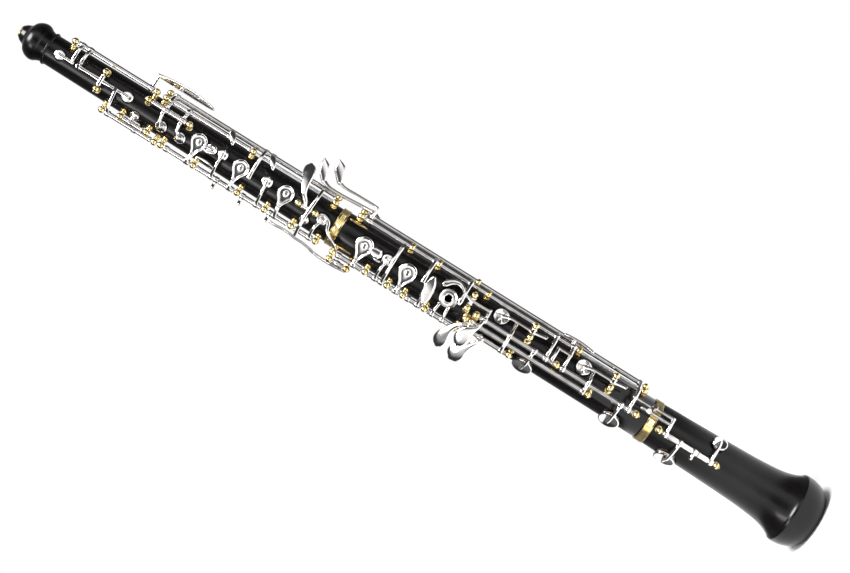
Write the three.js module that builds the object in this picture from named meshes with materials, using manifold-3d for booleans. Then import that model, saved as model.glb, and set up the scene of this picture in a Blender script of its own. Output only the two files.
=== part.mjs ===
// Oboe, conservatoire system, as an assembly of wood joints, posts and sprung keys.
// Millimetres. +Z runs up the bore from the bell's rim (z 0) to the reed well, and -Y faces the tone holes.
// Places round the body are given as (turn, out, up): degrees from the front towards +X,
// distance from the bore's axis, and height.
// Open-standing keys are drawn closed on their tone holes and then turned open about their hinge.
import * as THREE from 'three';
import { mergeVertices } from 'three/addons/utils/BufferGeometryUtils.js';
import Module from 'manifold-3d';

const wasm = await Module();
wasm.setup();

// driving dimensions
const totalHeight = 596;
const jointLine = 360; // where the upper joint meets the lower joint
const bellLine = 125.4; // where the lower joint meets the bell
const bellShoulder = 119.6; // foot of the bell's socket ring
const tenonLength = 18;
const fitGap = 0.3; // clearance kept between touching pieces
const tubeRadius = 1.7; // hinge tube of a key
const tubeBore = 1.15;
const rodRadius = 0.75; // steel screw rod inside the hinge tube
const ballRadius = 2.2; // head of a post
const stemRadius = 1.3;
const armThick = 1.5; // keys' flat arms
const armWide = 2.4;
const cupHeight = 2.6; // key cup with its pad
const seatMargin = 0.5; // spot face beyond the pad's edge
const bodySegments = 24;
const bellSegments = 30;

const wood = new THREE.MeshStandardMaterial({ color: 0x17151a, roughness: 0.35, metalness: 0 });
const silver = new THREE.MeshStandardMaterial({ color: 0xe4e2df, roughness: 0.16, metalness: 1 });
const gold = new THREE.MeshStandardMaterial({ color: 0xe6c46a, roughness: 0.2, metalness: 1 });
const cork = new THREE.MeshStandardMaterial({ color: 0xb98d5c, roughness: 0.9, metalness: 0 });

const oboe = new THREE.Group();

// solids
function solid(geometry) {
  const bare = (geometry.index ? geometry.toNonIndexed() : geometry.clone());
  bare.deleteAttribute('normal');
  bare.deleteAttribute('uv');
  const merged = mergeVertices(bare, 1e-4);
  return new wasm.Manifold(new wasm.Mesh({
    numProp: 3,
    vertProperties: new Float32Array(merged.attributes.position.array),
    triVerts: new Uint32Array(merged.index.array),
  }));
}

function geometryOf(manifold) {
  const mesh = manifold.getMesh();
  const geometry = new THREE.BufferGeometry();
  geometry.setAttribute('position', new THREE.BufferAttribute(new Float32Array(mesh.vertProperties), 3));
  geometry.setIndex(new THREE.BufferAttribute(new Uint32Array(mesh.triVerts), 1));
  geometry.computeVertexNormals();
  return geometry;
}

const joined = (pieces) => pieces.reduce((sum, piece) => sum.add(piece));

function addPiece(name, manifold, material) {
  const mesh = new THREE.Mesh(geometryOf(manifold), material);
  mesh.name = name;
  oboe.add(mesh);
  return mesh;
}

// places
const radians = THREE.MathUtils.degToRad;

function spot(turn, out, up) {
  return new THREE.Vector3(out * Math.sin(radians(turn)), -out * Math.cos(radians(turn)), up);
}

// A point in a frame turned to face `turn`: `side` runs round the body, `out` away from the bore.
function facing(turn, side, out, up) {
  const a = radians(turn);
  return new THREE.Vector3(
    out * Math.sin(a) + side * Math.cos(a),
    -out * Math.cos(a) + side * Math.sin(a),
    up,
  );
}

// Outer radius of the plain wood, tapering down each joint.
function woodRadius(up) {
  if (up > jointLine) return THREE.MathUtils.mapLinear(up, jointLine, 573, 12.1, 10.3);
  if (up > bellLine) return THREE.MathUtils.mapLinear(up, bellLine, jointLine, 13.8, 12.6);
  return THREE.MathUtils.mapLinear(up, 55, bellLine, 16.2, 14.1);
}

// basic shapes
const upAxis = new THREE.Vector3(0, 1, 0);

function along(geometry, from, to) {
  const direction = to.clone().sub(from);
  geometry.translate(0, direction.length() / 2, 0);
  geometry.applyQuaternion(new THREE.Quaternion().setFromUnitVectors(upAxis, direction.normalize()));
  return geometry.translate(from.x, from.y, from.z);
}

function bar(from, to, radius = 1.1, sides = 6, farRadius = radius) {
  const length = from.distanceTo(to);
  return solid(along(new THREE.CylinderGeometry(farRadius, radius, length, sides), from, to));
}

function ball(centre, radius = ballRadius, around = 6, rings = 4) {
  return solid(new THREE.SphereGeometry(radius, around, rings).translate(centre.x, centre.y, centre.z));
}

// A flattened leaf: length along `lie`, thickness along `face`.
function leaf(centre, lie, face, length, width, thick) {
  const z = face.clone().normalize();
  const x = lie.clone().addScaledVector(z, -lie.dot(z)).normalize();
  const y = z.clone().cross(x);
  const geometry = new THREE.SphereGeometry(0.5, 8, 6).scale(length, width, thick);
  geometry.applyMatrix4(new THREE.Matrix4().makeBasis(x, y, z).setPosition(centre));
  return solid(geometry);
}

// A rod bent along a smooth curve through the points.
function bent(points, radius = 1.1, steps = 6, sides = 6) {
  const section = new THREE.Shape(
    Array.from({ length: sides }, (_, i) => {
      const a = (2 * Math.PI * i) / sides;
      return new THREE.Vector2(radius * Math.cos(a), radius * Math.sin(a));
    }),
  );
  const extrudePath = new THREE.CatmullRomCurve3(points);
  return solid(new THREE.ExtrudeGeometry(section, { steps, extrudePath, bevelEnabled: false }));
}

// A flat strap that lies across the body at one height, through (turn, out) stations.
function strap(up, stations, width = armWide, thick = armThick) {
  const inner = [];
  const outer = [];
  for (let i = 0; i < stations.length - 1; i++) {
    const [turnA, outA] = stations[i];
    const [turnB, outB] = stations[i + 1];
    const steps = Math.max(1, Math.round(Math.abs(turnB - turnA) / 24));
    for (let k = i ? 1 : 0; k <= steps; k++) {
      const turn = THREE.MathUtils.lerp(turnA, turnB, k / steps);
      const out = THREE.MathUtils.lerp(outA, outB, k / steps);
      inner.push(spot(turn, out - thick / 2, 0));
      outer.push(spot(turn, out + thick / 2, 0));
    }
  }
  const outline = new THREE.Shape([...inner, ...outer.reverse()].map((p) => new THREE.Vector2(p.x, p.y)));
  const geometry = new THREE.ExtrudeGeometry(outline, { depth: width, bevelEnabled: false });
  return solid(geometry.translate(0, 0, up - width / 2));
}

// A turned solid of revolution about the bore's axis; the profile is a closed loop of [radius, height].
function turned(profile, segments = bodySegments) {
  const loop = [...profile, profile[0]].map(([r, z]) => new THREE.Vector2(r, z)).reverse();
  return solid(new THREE.LatheGeometry(loop, segments).rotateX(Math.PI / 2));
}

// tone holes and the cups that close them: [turn, up, cup radius, hole radius]
const toneHoles = {
  sideOctave: [0, 564.2, 3.6, 0.6],
  firstOctave: [0, 513.5, 3.8, 0.6],
  thirdOctave: [-43, 503.8, 3.1, 0.6],
  upperTrill: [-23, 485.6, 3.8, 1.6],
  lowerTrill: [-23, 471.7, 3.8, 1.7],
  bKey: [2, 459.4, 5.5, 1.5],
  cVent: [6, 442.3, 3.4, 1.6],
  aKey: [2, 428.4, 5.5, 2.0],
  bFlatVent: [7, 409.4, 3.6, 1.9],
  gKey: [7, 395.4, 5.5, 2.2],
  gSharp: [-32, 377.2, 3.0, 1.7],
  bridge: [0, 367.2, 3.7, 1.8],
  fSharp: [-1, 335.8, 6.0, 2.4],
  fSharpDuct: [-1, 326.2, 3.3, 1.2],
  fSharpVent: [-1, 318.5, 3.7, 1.8],
  eKey: [-1, 303.6, 6.0, 2.6],
  fVent: [-6, 287.2, 3.6, 2.0],
  dKey: [-3, 273.2, 6.2, 2.7],
  eFlat: [29, 238.5, 5.4, 2.6],
  lowC: [-64, 210.6, 7.0, 3.6],
  cSharp: [29, 177.2, 5.4, 2.8],
  lowB: [-62, 145.6, 7.2, 4.0],
  bellKey: [-72, 102.3, 7.4, 4.2],
  bellVent: [42, 78.5, 5.1, 2.4],
};

function seatOut([, up, cupRadius]) {
  const reach = cupRadius + seatMargin;
  return Math.sqrt(woodRadius(up) ** 2 - reach ** 2);
}

function drilled(joint, lowest, highest) {
  for (const hole of Object.values(toneHoles)) {
    const [turn, up, cupRadius, holeRadius] = hole;
    if (up < lowest || up > highest) continue;
    const seat = seatOut(hole);
    joint = joint.subtract(bar(spot(turn, seat, up), spot(turn, seat + 8, up), cupRadius + seatMargin, 12));
    joint = joint.subtract(bar(spot(turn, 0, up), spot(turn, seat + 1, up), holeRadius, 6));
  }
  return joint;
}

// A key cup standing closed on its tone hole, pad and all.
function cup(hole, height = cupHeight) {
  const [turn, up, cupRadius] = hole;
  const floor = seatOut(hole) + fitGap;
  return bar(spot(turn, floor, up), spot(turn, floor + height, up), cupRadius, 12, cupRadius * 0.86);
}

const cupTop = (hole) => seatOut(hole) + fitGap + cupHeight;

// posts
// One ball-headed post standing on the wood, its stem widening to the foot.
function post(turn, out, up) {
  const foot = woodRadius(up) + fitGap;
  return ball(spot(turn, out, up)).add(bar(spot(turn, foot, up), spot(turn, out, up), 2, 6, 1.1));
}

// A steel rod with the posts that hold it.
function postedRod(turn, out, heights, run = heights) {
  const ends = [Math.max(...run) + 1.2, Math.min(...run) - 1.2];
  return joined([
    bar(spot(turn, out, ends[0]), spot(turn, out, ends[1]), rodRadius),
    ...heights.map((up) => post(turn, out, up)),
  ]);
}

// The shared foot under two or more posts that stand side by side.
function sharedFoot(up, fromTurn, toTurn) {
  const out = woodRadius(up) + fitGap + 1.1;
  return strap(up, [[fromTurn, out], [toTurn, out]], 3.4, 1.3);
}

// Two posts that carry a short rod across the body, for a rocking lever.
function crossPosts(turn, half, out, up) {
  const floor = Math.sqrt(woodRadius(up) ** 2 - (half - stemRadius) ** 2) + fitGap;
  const ends = [-half, half].map((side) => joined([
    ball(facing(turn, side, out, up)),
    bar(facing(turn, side, floor, up), facing(turn, side, out, up), stemRadius),
  ]));
  const rod = bar(facing(turn, -half - 1, out, up), facing(turn, half + 1, out, up), rodRadius);
  return joined([...ends, rod]);
}

// keys
// A key turns about the hinge through `at` along `axis`. Its tube runs over `reach` of that line,
// bored through for the rod, and `open` degrees take the key from closed to its place at rest.
function addKey(name, hinge, reach, pieces, open = 0) {
  const on = (t) => hinge.at.clone().addScaledVector(hinge.axis, t);
  const tube = bar(on(reach[0]), on(reach[1]), tubeRadius, 8);
  const bore = bar(on(reach[0] - 4), on(reach[1] + 4), tubeBore, 6);
  const key = joined([tube, ...pieces]).subtract(bore);
  const geometry = geometryOf(key).translate(-hinge.at.x, -hinge.at.y, -hinge.at.z);
  const mesh = new THREE.Mesh(geometry, silver);
  mesh.name = name;
  mesh.position.copy(hinge.at);
  mesh.setRotationFromAxisAngle(hinge.axis, radians(open));
  oboe.add(mesh);
}

const boreAxis = new THREE.Vector3(0, 0, 1);
const hingeAt = (line) => ({ at: spot(line.turn, line.out, 0), axis: boreAxis });
const rockerHinge = (line) => ({
  at: facing(line.turn, 0, line.out, line.up),
  axis: facing(line.turn, 1, 0, 0),
});

// Strap from a hinge tube to a cup, running in over the cup's middle.
function cupArm(line, hole, up, width = armWide) {
  return strap(up, [[line.turn, line.out], [hole[0], cupTop(hole) + 0.2]], width);
}

// wood joints
const innerBore = (up) => THREE.MathUtils.mapLinear(up, 106, 576, 8.0, 2.2);
const tenonRadius = { upper: 8.6, lower: 10.3 };

const upperProfile = [
  [5.4, 594.6], [7.6, 590.4], [10.4, 588.4], [12.3, 585.6], [12.8, 583], [11.9, 580.4], [10.5, 577.2],
  [10.1, 575], [11.2, 574.4], [11.2, 573.4], [10.3, 573], [12.1, jointLine], [tenonRadius.upper, jointLine],
  [tenonRadius.upper, jointLine - tenonLength], [innerBore(342), jointLine - tenonLength],
  [innerBore(574), 574], [3.6, 574], [3.6, 594.6],
];
addPiece('upper_joint', drilled(turned(upperProfile), jointLine, totalHeight), wood);

const lowerProfile = [
  [12.0, jointLine - fitGap], [12.0, 354], [12.62, 354], [13.8, bellLine + fitGap],
  [tenonRadius.lower, bellLine + fitGap], [tenonRadius.lower, bellLine - tenonLength],
  [innerBore(106), bellLine - tenonLength], [innerBore(341), 341], [9.2, 341], [9.2, jointLine - fitGap],
];
addPiece('lower_joint', drilled(turned(lowerProfile), bellLine, jointLine), wood);

const bellProfile = [
  [13.4, bellLine], [13.4, bellShoulder], [14.25, bellShoulder], [16.2, 55], [17.2, 40], [18.5, 30],
  [20.2, 23.5], [23.5, 18.2], [24, 16.4], [23.7, 12], [22.6, 7.6], [20.8, 3.8], [18.8, 1.3], [17.2, 0],
  [15.4, 0], [14.9, 0.8], [14.4, 10], [12.4, 30], [10.4, 60], [9, 90], [8.7, 106.9], [10.9, 106.9],
  [10.9, bellLine],
];
addPiece('bell', drilled(turned(bellProfile, bellSegments), 0, bellShoulder), wood);

// fittings on the wood
addPiece('reed_well_tube', turned([[3.3, 596], [3.3, 575], [2.45, 575], [2.45, 596]], 20), silver);

const corkSleeve = (radius, top, bottom) => turned(
  [[radius + 0.45, top], [radius + 0.45, bottom], [radius + 0.15, bottom], [radius + 0.15, top]],
  24,
);
addPiece('upper_tenon_cork', corkSleeve(tenonRadius.upper, jointLine - 3, jointLine - 15), cork);
addPiece('lower_tenon_cork', corkSleeve(tenonRadius.lower, bellLine - 3, bellLine - 15), cork);
addPiece(
  'lower_socket_ring',
  turned([[13.0, 359.7], [13.2, 358.6], [13.2, 355.3], [13.0, 354.3], [12.3, 354.3], [12.3, 359.7]]),
  gold,
);
addPiece(
  'bell_socket_ring',
  turned([
    [14.6, bellLine], [14.8, bellLine - 1], [14.8, bellShoulder + 1.3], [14.6, bellShoulder + 0.3],
    [13.7, bellShoulder + 0.3], [13.7, bellLine],
  ]),
  gold,
);

// Thumb rest on the back: a lozenge plate and the curved shelf that the thumb carries.
function thumbRest() {
  const back = woodRadius(330) + fitGap;
  const corners = [[0, 340], [7, 331], [3.5, 324], [-3.5, 324], [-7, 331]];
  const outline = new THREE.Shape(corners.map(([x, z]) => new THREE.Vector2(x, z)));
  const plate = new THREE.ExtrudeGeometry(outline, { depth: 1.5, bevelEnabled: false });
  const arch = new THREE.Shape();
  arch.absarc(0, 312, 14.6, radians(48), radians(132), false);
  arch.absarc(0, 312, 12.3, radians(132), radians(48), true);
  const shelf = new THREE.ExtrudeGeometry(arch, { depth: 11, bevelEnabled: false, curveSegments: 8 });
  plate.rotateX(Math.PI / 2).translate(0, back + 1.5, 0);
  shelf.rotateX(Math.PI / 2).translate(0, back + 11, 0);
  return joined([solid(plate), solid(shelf)]);
}
addPiece('thumb_rest', thumbRest(), gold);

// upper joint: octave and trill keys
const sideOctaveLine = { turn: 50, out: 16.6 };
addPiece('side_octave_posts', postedRod(50, 16.6, [560.3, 499.5]), gold);
addKey('side_octave_key', hingeAt(sideOctaveLine), [502.1, 557.7], [
  cup(toneHoles.sideOctave),
  bar(spot(0, 13.4, 564.2), spot(0, 14, 553.6), 1.0),
  strap(554.5, [[0, 13.8], [50, 16.6]]),
  strap(548.6, [[9.5, 15.4], [50, 16.6]], 2.2),
  strap(503.4, [[50, 16.6], [58, 20], [64, 24.5]]),
  bent([spot(64, 24.4, 503.4), spot(65, 24.6, 496), spot(65, 24.6, 490)], 1.0, 6),
  leaf(spot(65, 24.6, 478), boreAxis, spot(65, 1, 0), 31, 7, 2.2),
]);

const rockerLine = { turn: 0, out: 15.6, up: 532.4 };
addPiece('octave_rocker_posts', crossPosts(0, 6.2, 15.6, 532.4), gold);
addKey('octave_rocker', rockerHinge(rockerLine), [-3.2, 3.2], [
  bar(spot(0, 15.6, 549.6), spot(0, 15.6, 534), 1.1),
  bar(spot(0, 15.6, 530.8), spot(0, 14.2, 520), 1.1),
  bar(spot(0, 14.3, 521), spot(0, 12.9, 513.5), 1.1),
  ball(spot(0, 15.4, 549.2), 1.5),
  cup(toneHoles.firstOctave),
]);

const thumbOctaveLine = { turn: -70, out: 16.6 };
addPiece('thumb_octave_posts', postedRod(-70, 16.6, [524.6, 485.2]), gold);
addKey('thumb_octave_key', hingeAt(thumbOctaveLine), [487.8, 522], [
  strap(520, [[-70, 16.6], [-30, 13.6], [0, 12]]),
  strap(500, [[-70, 16.6], [-100, 16.2], [-178, 15]], 4),
  leaf(spot(180, 14.9, 500), boreAxis, spot(180, 1, 0), 21, 12, 2.8),
]);

const thirdOctaveLine = { turn: -54, out: 16 };
addPiece('third_octave_posts', postedRod(-54, 16, [511.6, 492]), gold);
addKey('third_octave_key', hingeAt(thirdOctaveLine), [494.6, 509], [
  cup(toneHoles.thirdOctave),
  cupArm(thirdOctaveLine, toneHoles.thirdOctave, 503.8, 2),
]);

const ventLine = { turn: 20.5, out: 16.2 };
const trillTailUp = { upper: 487.6, lower: 475 };
addPiece('trill_vent_posts', postedRod(20.5, 16.2, [500.4, 470]), gold);
for (const [name, hole, tailUp, low, high] of [
  ['upper_trill_vent', toneHoles.upperTrill, trillTailUp.upper, 485.4, 497.8],
  ['lower_trill_vent', toneHoles.lowerTrill, trillTailUp.lower, 472.6, 485.1],
]) {
  addKey(name, hingeAt(ventLine), [low, high], [
    cup(hole),
    cupArm(ventLine, hole, tailUp, 2.2),
    bar(spot(-23, cupTop(hole), tailUp), spot(-23, cupTop(hole), hole[1]), 1.0),
    strap(tailUp, [[20.5, 16.2], [40, 17.4]], 2.2),
  ]);
}

const outerTrillLine = { turn: 70, out: 17.6 };
const innerTrillLine = { turn: 50, out: 16.6 };
addPiece(
  'trill_lever_posts',
  joined([
    postedRod(70, 17.6, [492.3, 366]),
    postedRod(50, 16.6, [492.3, 427.3, 366]),
    sharedFoot(492.3, 50, 70),
    sharedFoot(366, 50, 70),
  ]),
  gold,
);
const trillTouch = (up, turn, out) => leaf(
  spot(turn, out, up),
  facing(turn, -1, 0, -0.42),
  spot(turn + 14, 1, 0),
  13,
  5.5,
  1.8,
);
addKey('upper_trill_lever', hingeAt(outerTrillLine), [368.6, 489.7], [
  strap(trillTailUp.upper, [[70, 17.6], [62, 20.4], [38, 19.9]], 2.2),
  strap(415.4, [[70, 17.6], [62, 19.8], [48, 19.8]]),
  trillTouch(413.7, 38, 20),
  strap(420.7, [[70, 17.6], [62, 20.2], [40, 19.4], [2, 15], [-12, 15]], 2),
]);
addKey('lower_trill_lever', hingeAt(innerTrillLine), [429.9, 489.7], [
  strap(trillTailUp.lower, [[50, 16.6], [46, 19.8], [37, 19.9]], 2.2),
  bar(spot(50, 16.6, 445), spot(48, 20.4, 445), 1.2),
  trillTouch(443.6, 38, 20.2),
]);

// upper joint: left-hand stack
const leftLine = { turn: -62, out: 17 };
const leftPosts = [480.2, 456, 422.9, 402.5, 382.7, 364.3];
const standOpen = -7; // left and right stack keys stand open by this turn
addPiece('left_stack_posts', postedRod(-62, 17, leftPosts), gold);
addKey('b_key', hingeAt(leftLine), [458.6, 477.6], [
  cup(toneHoles.bKey),
  cupArm(leftLine, toneHoles.bKey, 460.8),
  bar(spot(3, 12.6, 455), spot(3, 13, 449.9), 1.2),
  bar(spot(3, 12.1, 449.9), spot(3, 13.7, 449.9), 3.3, 16),
], standOpen);
// A small arm behind the hinge, which carries a levelling screw.
const adjuster = (up) => bar(spot(-62, 17, up), spot(-74, 21, up), 0.9);

addKey('a_key', hingeAt(leftLine), [425.5, 436.2], [
  cup(toneHoles.aKey),
  cupArm(leftLine, toneHoles.aKey, 428.8),
], standOpen);
for (const [name, hole, armUp, low, high, adjusterUp] of [
  ['c_vent_key', toneHoles.cVent, 442.3, 436.6, 453.4, 438.4],
  ['b_flat_vent_key', toneHoles.bFlatVent, 408.6, 405.1, 420.3, 418.6],
  ['g_key', toneHoles.gKey, 394.8, 385.3, 399.9, 398.2],
]) {
  addKey(name, hingeAt(leftLine), [low, high], [
    cup(hole),
    cupArm(leftLine, hole, armUp),
    adjuster(adjusterUp),
  ], standOpen);
}
addKey('bridge_key', hingeAt(leftLine), [366.9, 380.1], [
  cup(toneHoles.bridge),
  cupArm(leftLine, toneHoles.bridge, 369),
], standOpen);

// upper joint: G sharp key and little-finger touches
const gSharpLine = { turn: 0, out: 17.4 };
addPiece('g_sharp_posts', postedRod(0, 17.4, [385.4, 372.8]), gold);
addKey('g_sharp_key', hingeAt(gSharpLine), [375.4, 382.8], [
  cup(toneHoles.gSharp),
  bar(spot(-32, cupTop(toneHoles.gSharp) - 0.4, 377.2), spot(-32, 19.6, 377.2), 1.1),
  strap(377.2, [[46, 20.6], [8, 18.6], [-10, 18.6], [-58, 21.6]]),
  bent([
    spot(2, 17.6, 381.2),
    new THREE.Vector3(6.5, -18.4, 383),
    new THREE.Vector3(12, -17.2, 387.5),
  ], 1.2, 6),
  leaf(
    new THREE.Vector3(17, -14.9, 391),
    new THREE.Vector3(0.8, 0.45, 0.4),
    new THREE.Vector3(0.45, -0.9, 0),
    19,
    8,
    2.4,
  ),
]);

// lower joint: left-hand lever rods
const outward = new THREE.Vector3(0.8, 0, 0.6);
const towardsFront = new THREE.Vector3(-0.25, -1, 0);
const innerLeverLine = { turn: 60, out: 16.4 };
const outerLeverLine = { turn: 78, out: 17.8 };
addPiece(
  'left_lever_posts',
  joined([
    postedRod(60, 16.4, [347.5, 184.4, 136]),
    postedRod(78, 17.8, [347.5, 136]),
    sharedFoot(347.5, 60, 78),
    sharedFoot(136, 60, 78),
  ]),
  gold,
);
addKey('low_b_flat_lever', hingeAt(outerLeverLine), [138.6, 344.9], [
  bent([
    spot(78, 18, 340.6),
    new THREE.Vector3(21, -4.8, 344.5),
    new THREE.Vector3(20.8, -8, 352),
    new THREE.Vector3(19.8, -11, 364),
    new THREE.Vector3(21, -12.6, 376),
    new THREE.Vector3(23.4, -12.4, 381.6),
  ], 1.1, 10),
  leaf(new THREE.Vector3(27, -12.2, 384.4), outward, towardsFront, 15, 6.5, 2.4),
  strap(140.2, [[78, 17.8], [68, 19.2], [27, 17.6]]),
  bar(spot(27, 17.6, 140.6), spot(27, 17.6, 124), 1.0),
]);
addKey('low_b_lever', hingeAt(innerLeverLine), [187.2, 344.9], [
  strap(201.4, [[60, 16.4], [32, 16.6]]),
  strap(188.8, [[60, 16.4], [32, 16.6]]),
  strap(265.7, [[60, 16.4], [52, 20.6], [0, 21.4]], 2.2),
  bar(spot(60, 16.4, 341.6), new THREE.Vector3(24.6, -6, 341.6), 1.2),
  bent([
    new THREE.Vector3(24.6, -6, 340.8),
    new THREE.Vector3(24.8, -6, 352),
    new THREE.Vector3(24.6, -6, 368),
    new THREE.Vector3(27.4, -6, 372.6),
  ], 1.2, 8),
  leaf(new THREE.Vector3(31.4, -6, 374.6), outward, towardsFront, 15, 6.5, 2.4),
]);

// lower joint: right-hand stack
const rightLine = { turn: -56, out: 18 };
const sideTouchLine = { turn: -75, out: 20.5 };
addPiece(
  'right_stack_posts',
  joined([
    postedRod(-56, 18, [351.3, 327.2, 310.7, 298.9, 282.7, 259.5]),
    postedRod(-75, 20.5, [351.3, 338.4]),
    sharedFoot(351.3, -56, -75),
  ]),
  gold,
);
addKey('f_sharp_key', hingeAt(rightLine), [329.8, 348.7], [
  cup(toneHoles.fSharp),
  cup(toneHoles.fSharpDuct),
  cupArm(rightLine, toneHoles.fSharp, 335.8),
  bar(spot(-1, 13.6, 331), spot(-1, 13.6, 326), 1.2),
], standOpen);
addKey('f_sharp_vent_key', hingeAt(rightLine), [313.3, 324.6], [
  cup(toneHoles.fSharpVent),
  cupArm(rightLine, toneHoles.fSharpVent, 319.6),
  strap(314.6, [[-56, 18], [-40, 18.4], [40, 17.6]]),
], standOpen);
addKey('e_key', hingeAt(rightLine), [301.5, 308.1], [
  cup(toneHoles.eKey),
  cupArm(rightLine, toneHoles.eKey, 304.4),
], standOpen);
addKey('f_vent_key', hingeAt(rightLine), [285.3, 296.3], [
  cup(toneHoles.fVent),
  cupArm(rightLine, toneHoles.fVent, 288),
  leaf(spot(-4, 16.2, 287.2), facing(-4, 1, 0, 0), spot(-4, 1, 0), 17, 7, 2.2),
], standOpen);
const dKey = toneHoles.dKey;
addKey('d_key', hingeAt(rightLine), [262.1, 280.1], [
  cup(dKey).subtract(bar(spot(dKey[0], 8, dKey[1]), spot(dKey[0], 20, dKey[1]), 2.6, 16)),
  strap(276.6, [[-56, 18], [-17, cupTop(dKey) + 0.1]], 1.8),
  strap(270, [[-56, 18], [-17, cupTop(dKey) + 0.1]], 1.8),
], standOpen);
addKey('side_trill_touch', hingeAt(sideTouchLine), [341, 348.7], [
  bar(spot(-75, 20.5, 345.4), spot(-84, 24, 346), 1.1),
  leaf(spot(-84, 24.5, 349), boreAxis, spot(-84, 1, 0), 30, 6.5, 2.4),
  bent([
    spot(-84, 24.5, 361),
    spot(-80, 23.4, 368),
    spot(-76, 24.6, 376),
    spot(-75, 23.6, 386),
    spot(-74, 24.4, 396),
  ], 1, 10),
]);

// lower joint: banana key and right little finger
const bananaLine = { turn: 14, out: 18.4, up: 260 };
addPiece('banana_key_posts', crossPosts(14, 4.8, 18.4, 260), gold);
addKey('banana_key', rockerHinge(bananaLine), [-2.2, 2.2], [
  bent([
    new THREE.Vector3(7.2, -15.6, 282.4),
    new THREE.Vector3(10.2, -14.6, 276),
    new THREE.Vector3(8.2, -16, 268),
    spot(14, 18.2, 260.4),
  ], 1.3, 8),
  bar(spot(14, 18.4, 261), spot(18.5, 19.4, 246), 1.0),
]);

const frontLine = { turn: -3, out: 18.8 };
const cSharpLine = { turn: -20, out: 18.6 };
const eFlatLine = { turn: -38, out: 18.6 };
addPiece(
  'front_lever_posts',
  joined([
    postedRod(-3, 18.8, [252.4, 193.1, 134]),
    postedRod(-20, 18.6, [257, 166.6]),
    postedRod(-38, 18.6, [252.4, 222]),
    sharedFoot(252.4, -38, -3),
    bar(spot(-20, woodRadius(255) + 1, 251.6), spot(-20, woodRadius(255) + 1, 257), 0.7),
  ]),
  gold,
);
const lowOpen = 6; // the large side pads stand open by this turn
const touchLie = new THREE.Vector3(1, -0.5, 0.1);
const touchFace = new THREE.Vector3(-0.45, -1, 0);
addKey('low_c_key', hingeAt(frontLine), [195.7, 249.8], [
  cup(toneHoles.lowC),
  strap(209.6, [[-3, 18.8], [-9, 16.2], [-18, 15], [-64, cupTop(toneHoles.lowC) + 0.4]]),
  strap(201.4, [[-3, 18.8], [36, 21.2]], 2.2),
  strap(246.4, [[-3, 18.8], [10, 17.6], [24, 17]], 2.2),
  bent([
    spot(-3, 19.2, 247.6),
    spot(-13, 22.4, 248.4),
    new THREE.Vector3(-11.5, -20.6, 251.4),
    new THREE.Vector3(-14.5, -18.6, 252.4),
  ], 1.2, 8),
  leaf(new THREE.Vector3(-18, -16.8, 252.8), touchLie, touchFace, 12, 9, 2.6),
], lowOpen);
addKey('c_sharp_key', hingeAt(cSharpLine), [169.2, 254.4], [
  strap(170.3, [[-20, 18.6], [-15, 22], [6, 22], [14, 16.2], [31, 15.6]], 2),
  bent([
    spot(-20, 18.8, 253),
    spot(-30, 21.4, 256),
    new THREE.Vector3(-16, -16.6, 259.6),
    new THREE.Vector3(-21, -12.8, 261),
  ], 1.2, 8),
  leaf(new THREE.Vector3(-24.4, -10.8, 261.4), touchLie, touchFace, 13, 8.5, 2.8),
]);
addKey('e_flat_key', hingeAt(eFlatLine), [224.6, 249.8], [
  strap(227.8, [[-38, 18.6], [-29, 22.4], [6, 22.4], [14, 16.4], [31, 15.4]], 2.2),
  bent([
    spot(-38, 18.8, 243.4),
    new THREE.Vector3(-16, -14.2, 245),
    new THREE.Vector3(-21, -12.2, 247.4),
    new THREE.Vector3(-24, -10.8, 248.6),
  ], 1.2, 8),
  leaf(new THREE.Vector3(-28, -8.8, 249.4), touchLie, touchFace, 14, 10, 2.8),
]);

// Rocking levers that hold the E flat and C sharp pads closed.
function rocker(name, hole, pivotUp, tailUp) {
  const line = { turn: 29, out: 18.6, up: pivotUp };
  const top = cupTop(hole);
  addPiece(`${name}_posts`, crossPosts(29, 4.6, 18.6, pivotUp), gold);
  addKey(name, rockerHinge(line), [-2, 2], [
    cup(hole),
    bent([
      spot(29, top + 0.3, hole[1] - 1),
      spot(29, 18.3, hole[1] - 6),
      spot(29, 18.6, pivotUp + 2.5),
    ], 1.1, 8),
    bar(spot(29, 18.6, pivotUp + 3.4), spot(29, 18.6, pivotUp + 1.4), 1.1),
    bar(spot(29, 18.6, pivotUp - 1.4), spot(33, 18.6, tailUp), 1.1),
  ]);
}
rocker('e_flat_rocker', toneHoles.eFlat, 216.5, 206.8);
rocker('c_sharp_rocker', toneHoles.cSharp, 156.7, 147.4);

addKey('low_b_key', hingeAt(frontLine), [136.6, 190.5], [
  cup(toneHoles.lowB),
  strap(145.4, [[-3, 18.8], [-62, cupTop(toneHoles.lowB) + 0.4]]),
  strap(140.2, [[-3, 18.8], [14, 22], [36, 23]], 2.2),
  strap(188.8, [[-3, 18.8], [36, 21.2]], 2.2),
  bar(spot(26, 20.4, 188.2), spot(26, 20.4, 197.8), 1),
  strap(197.6, [[26, 20.4], [18, 22], [0, 22.4]], 2),
], lowOpen);

// bell keys
const bellKeyLine = { turn: -5, out: 20.4 };
addPiece('bell_key_posts', postedRod(-5, 20.4, [116.6, 74.6]), gold);
addKey('bell_key', hingeAt(bellKeyLine), [88.4, 114], [
  cup(toneHoles.bellKey),
  strap(101.4, [[-5, 20.4], [-72, cupTop(toneHoles.bellKey) + 0.4]]),
  strap(112.2, [[-5, 20.4], [25, 21.4]], 2.2),
  bar(spot(25, 21.4, 111.6), spot(25, 21.4, 127), 1),
], lowOpen);
addKey('bell_vent_key', hingeAt(bellKeyLine), [77.2, 88.1], [
  cup(toneHoles.bellVent),
  strap(79.2, [[-5, 20.4], [42, cupTop(toneHoles.bellVent) + 0.3]]),
], -lowOpen);

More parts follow.
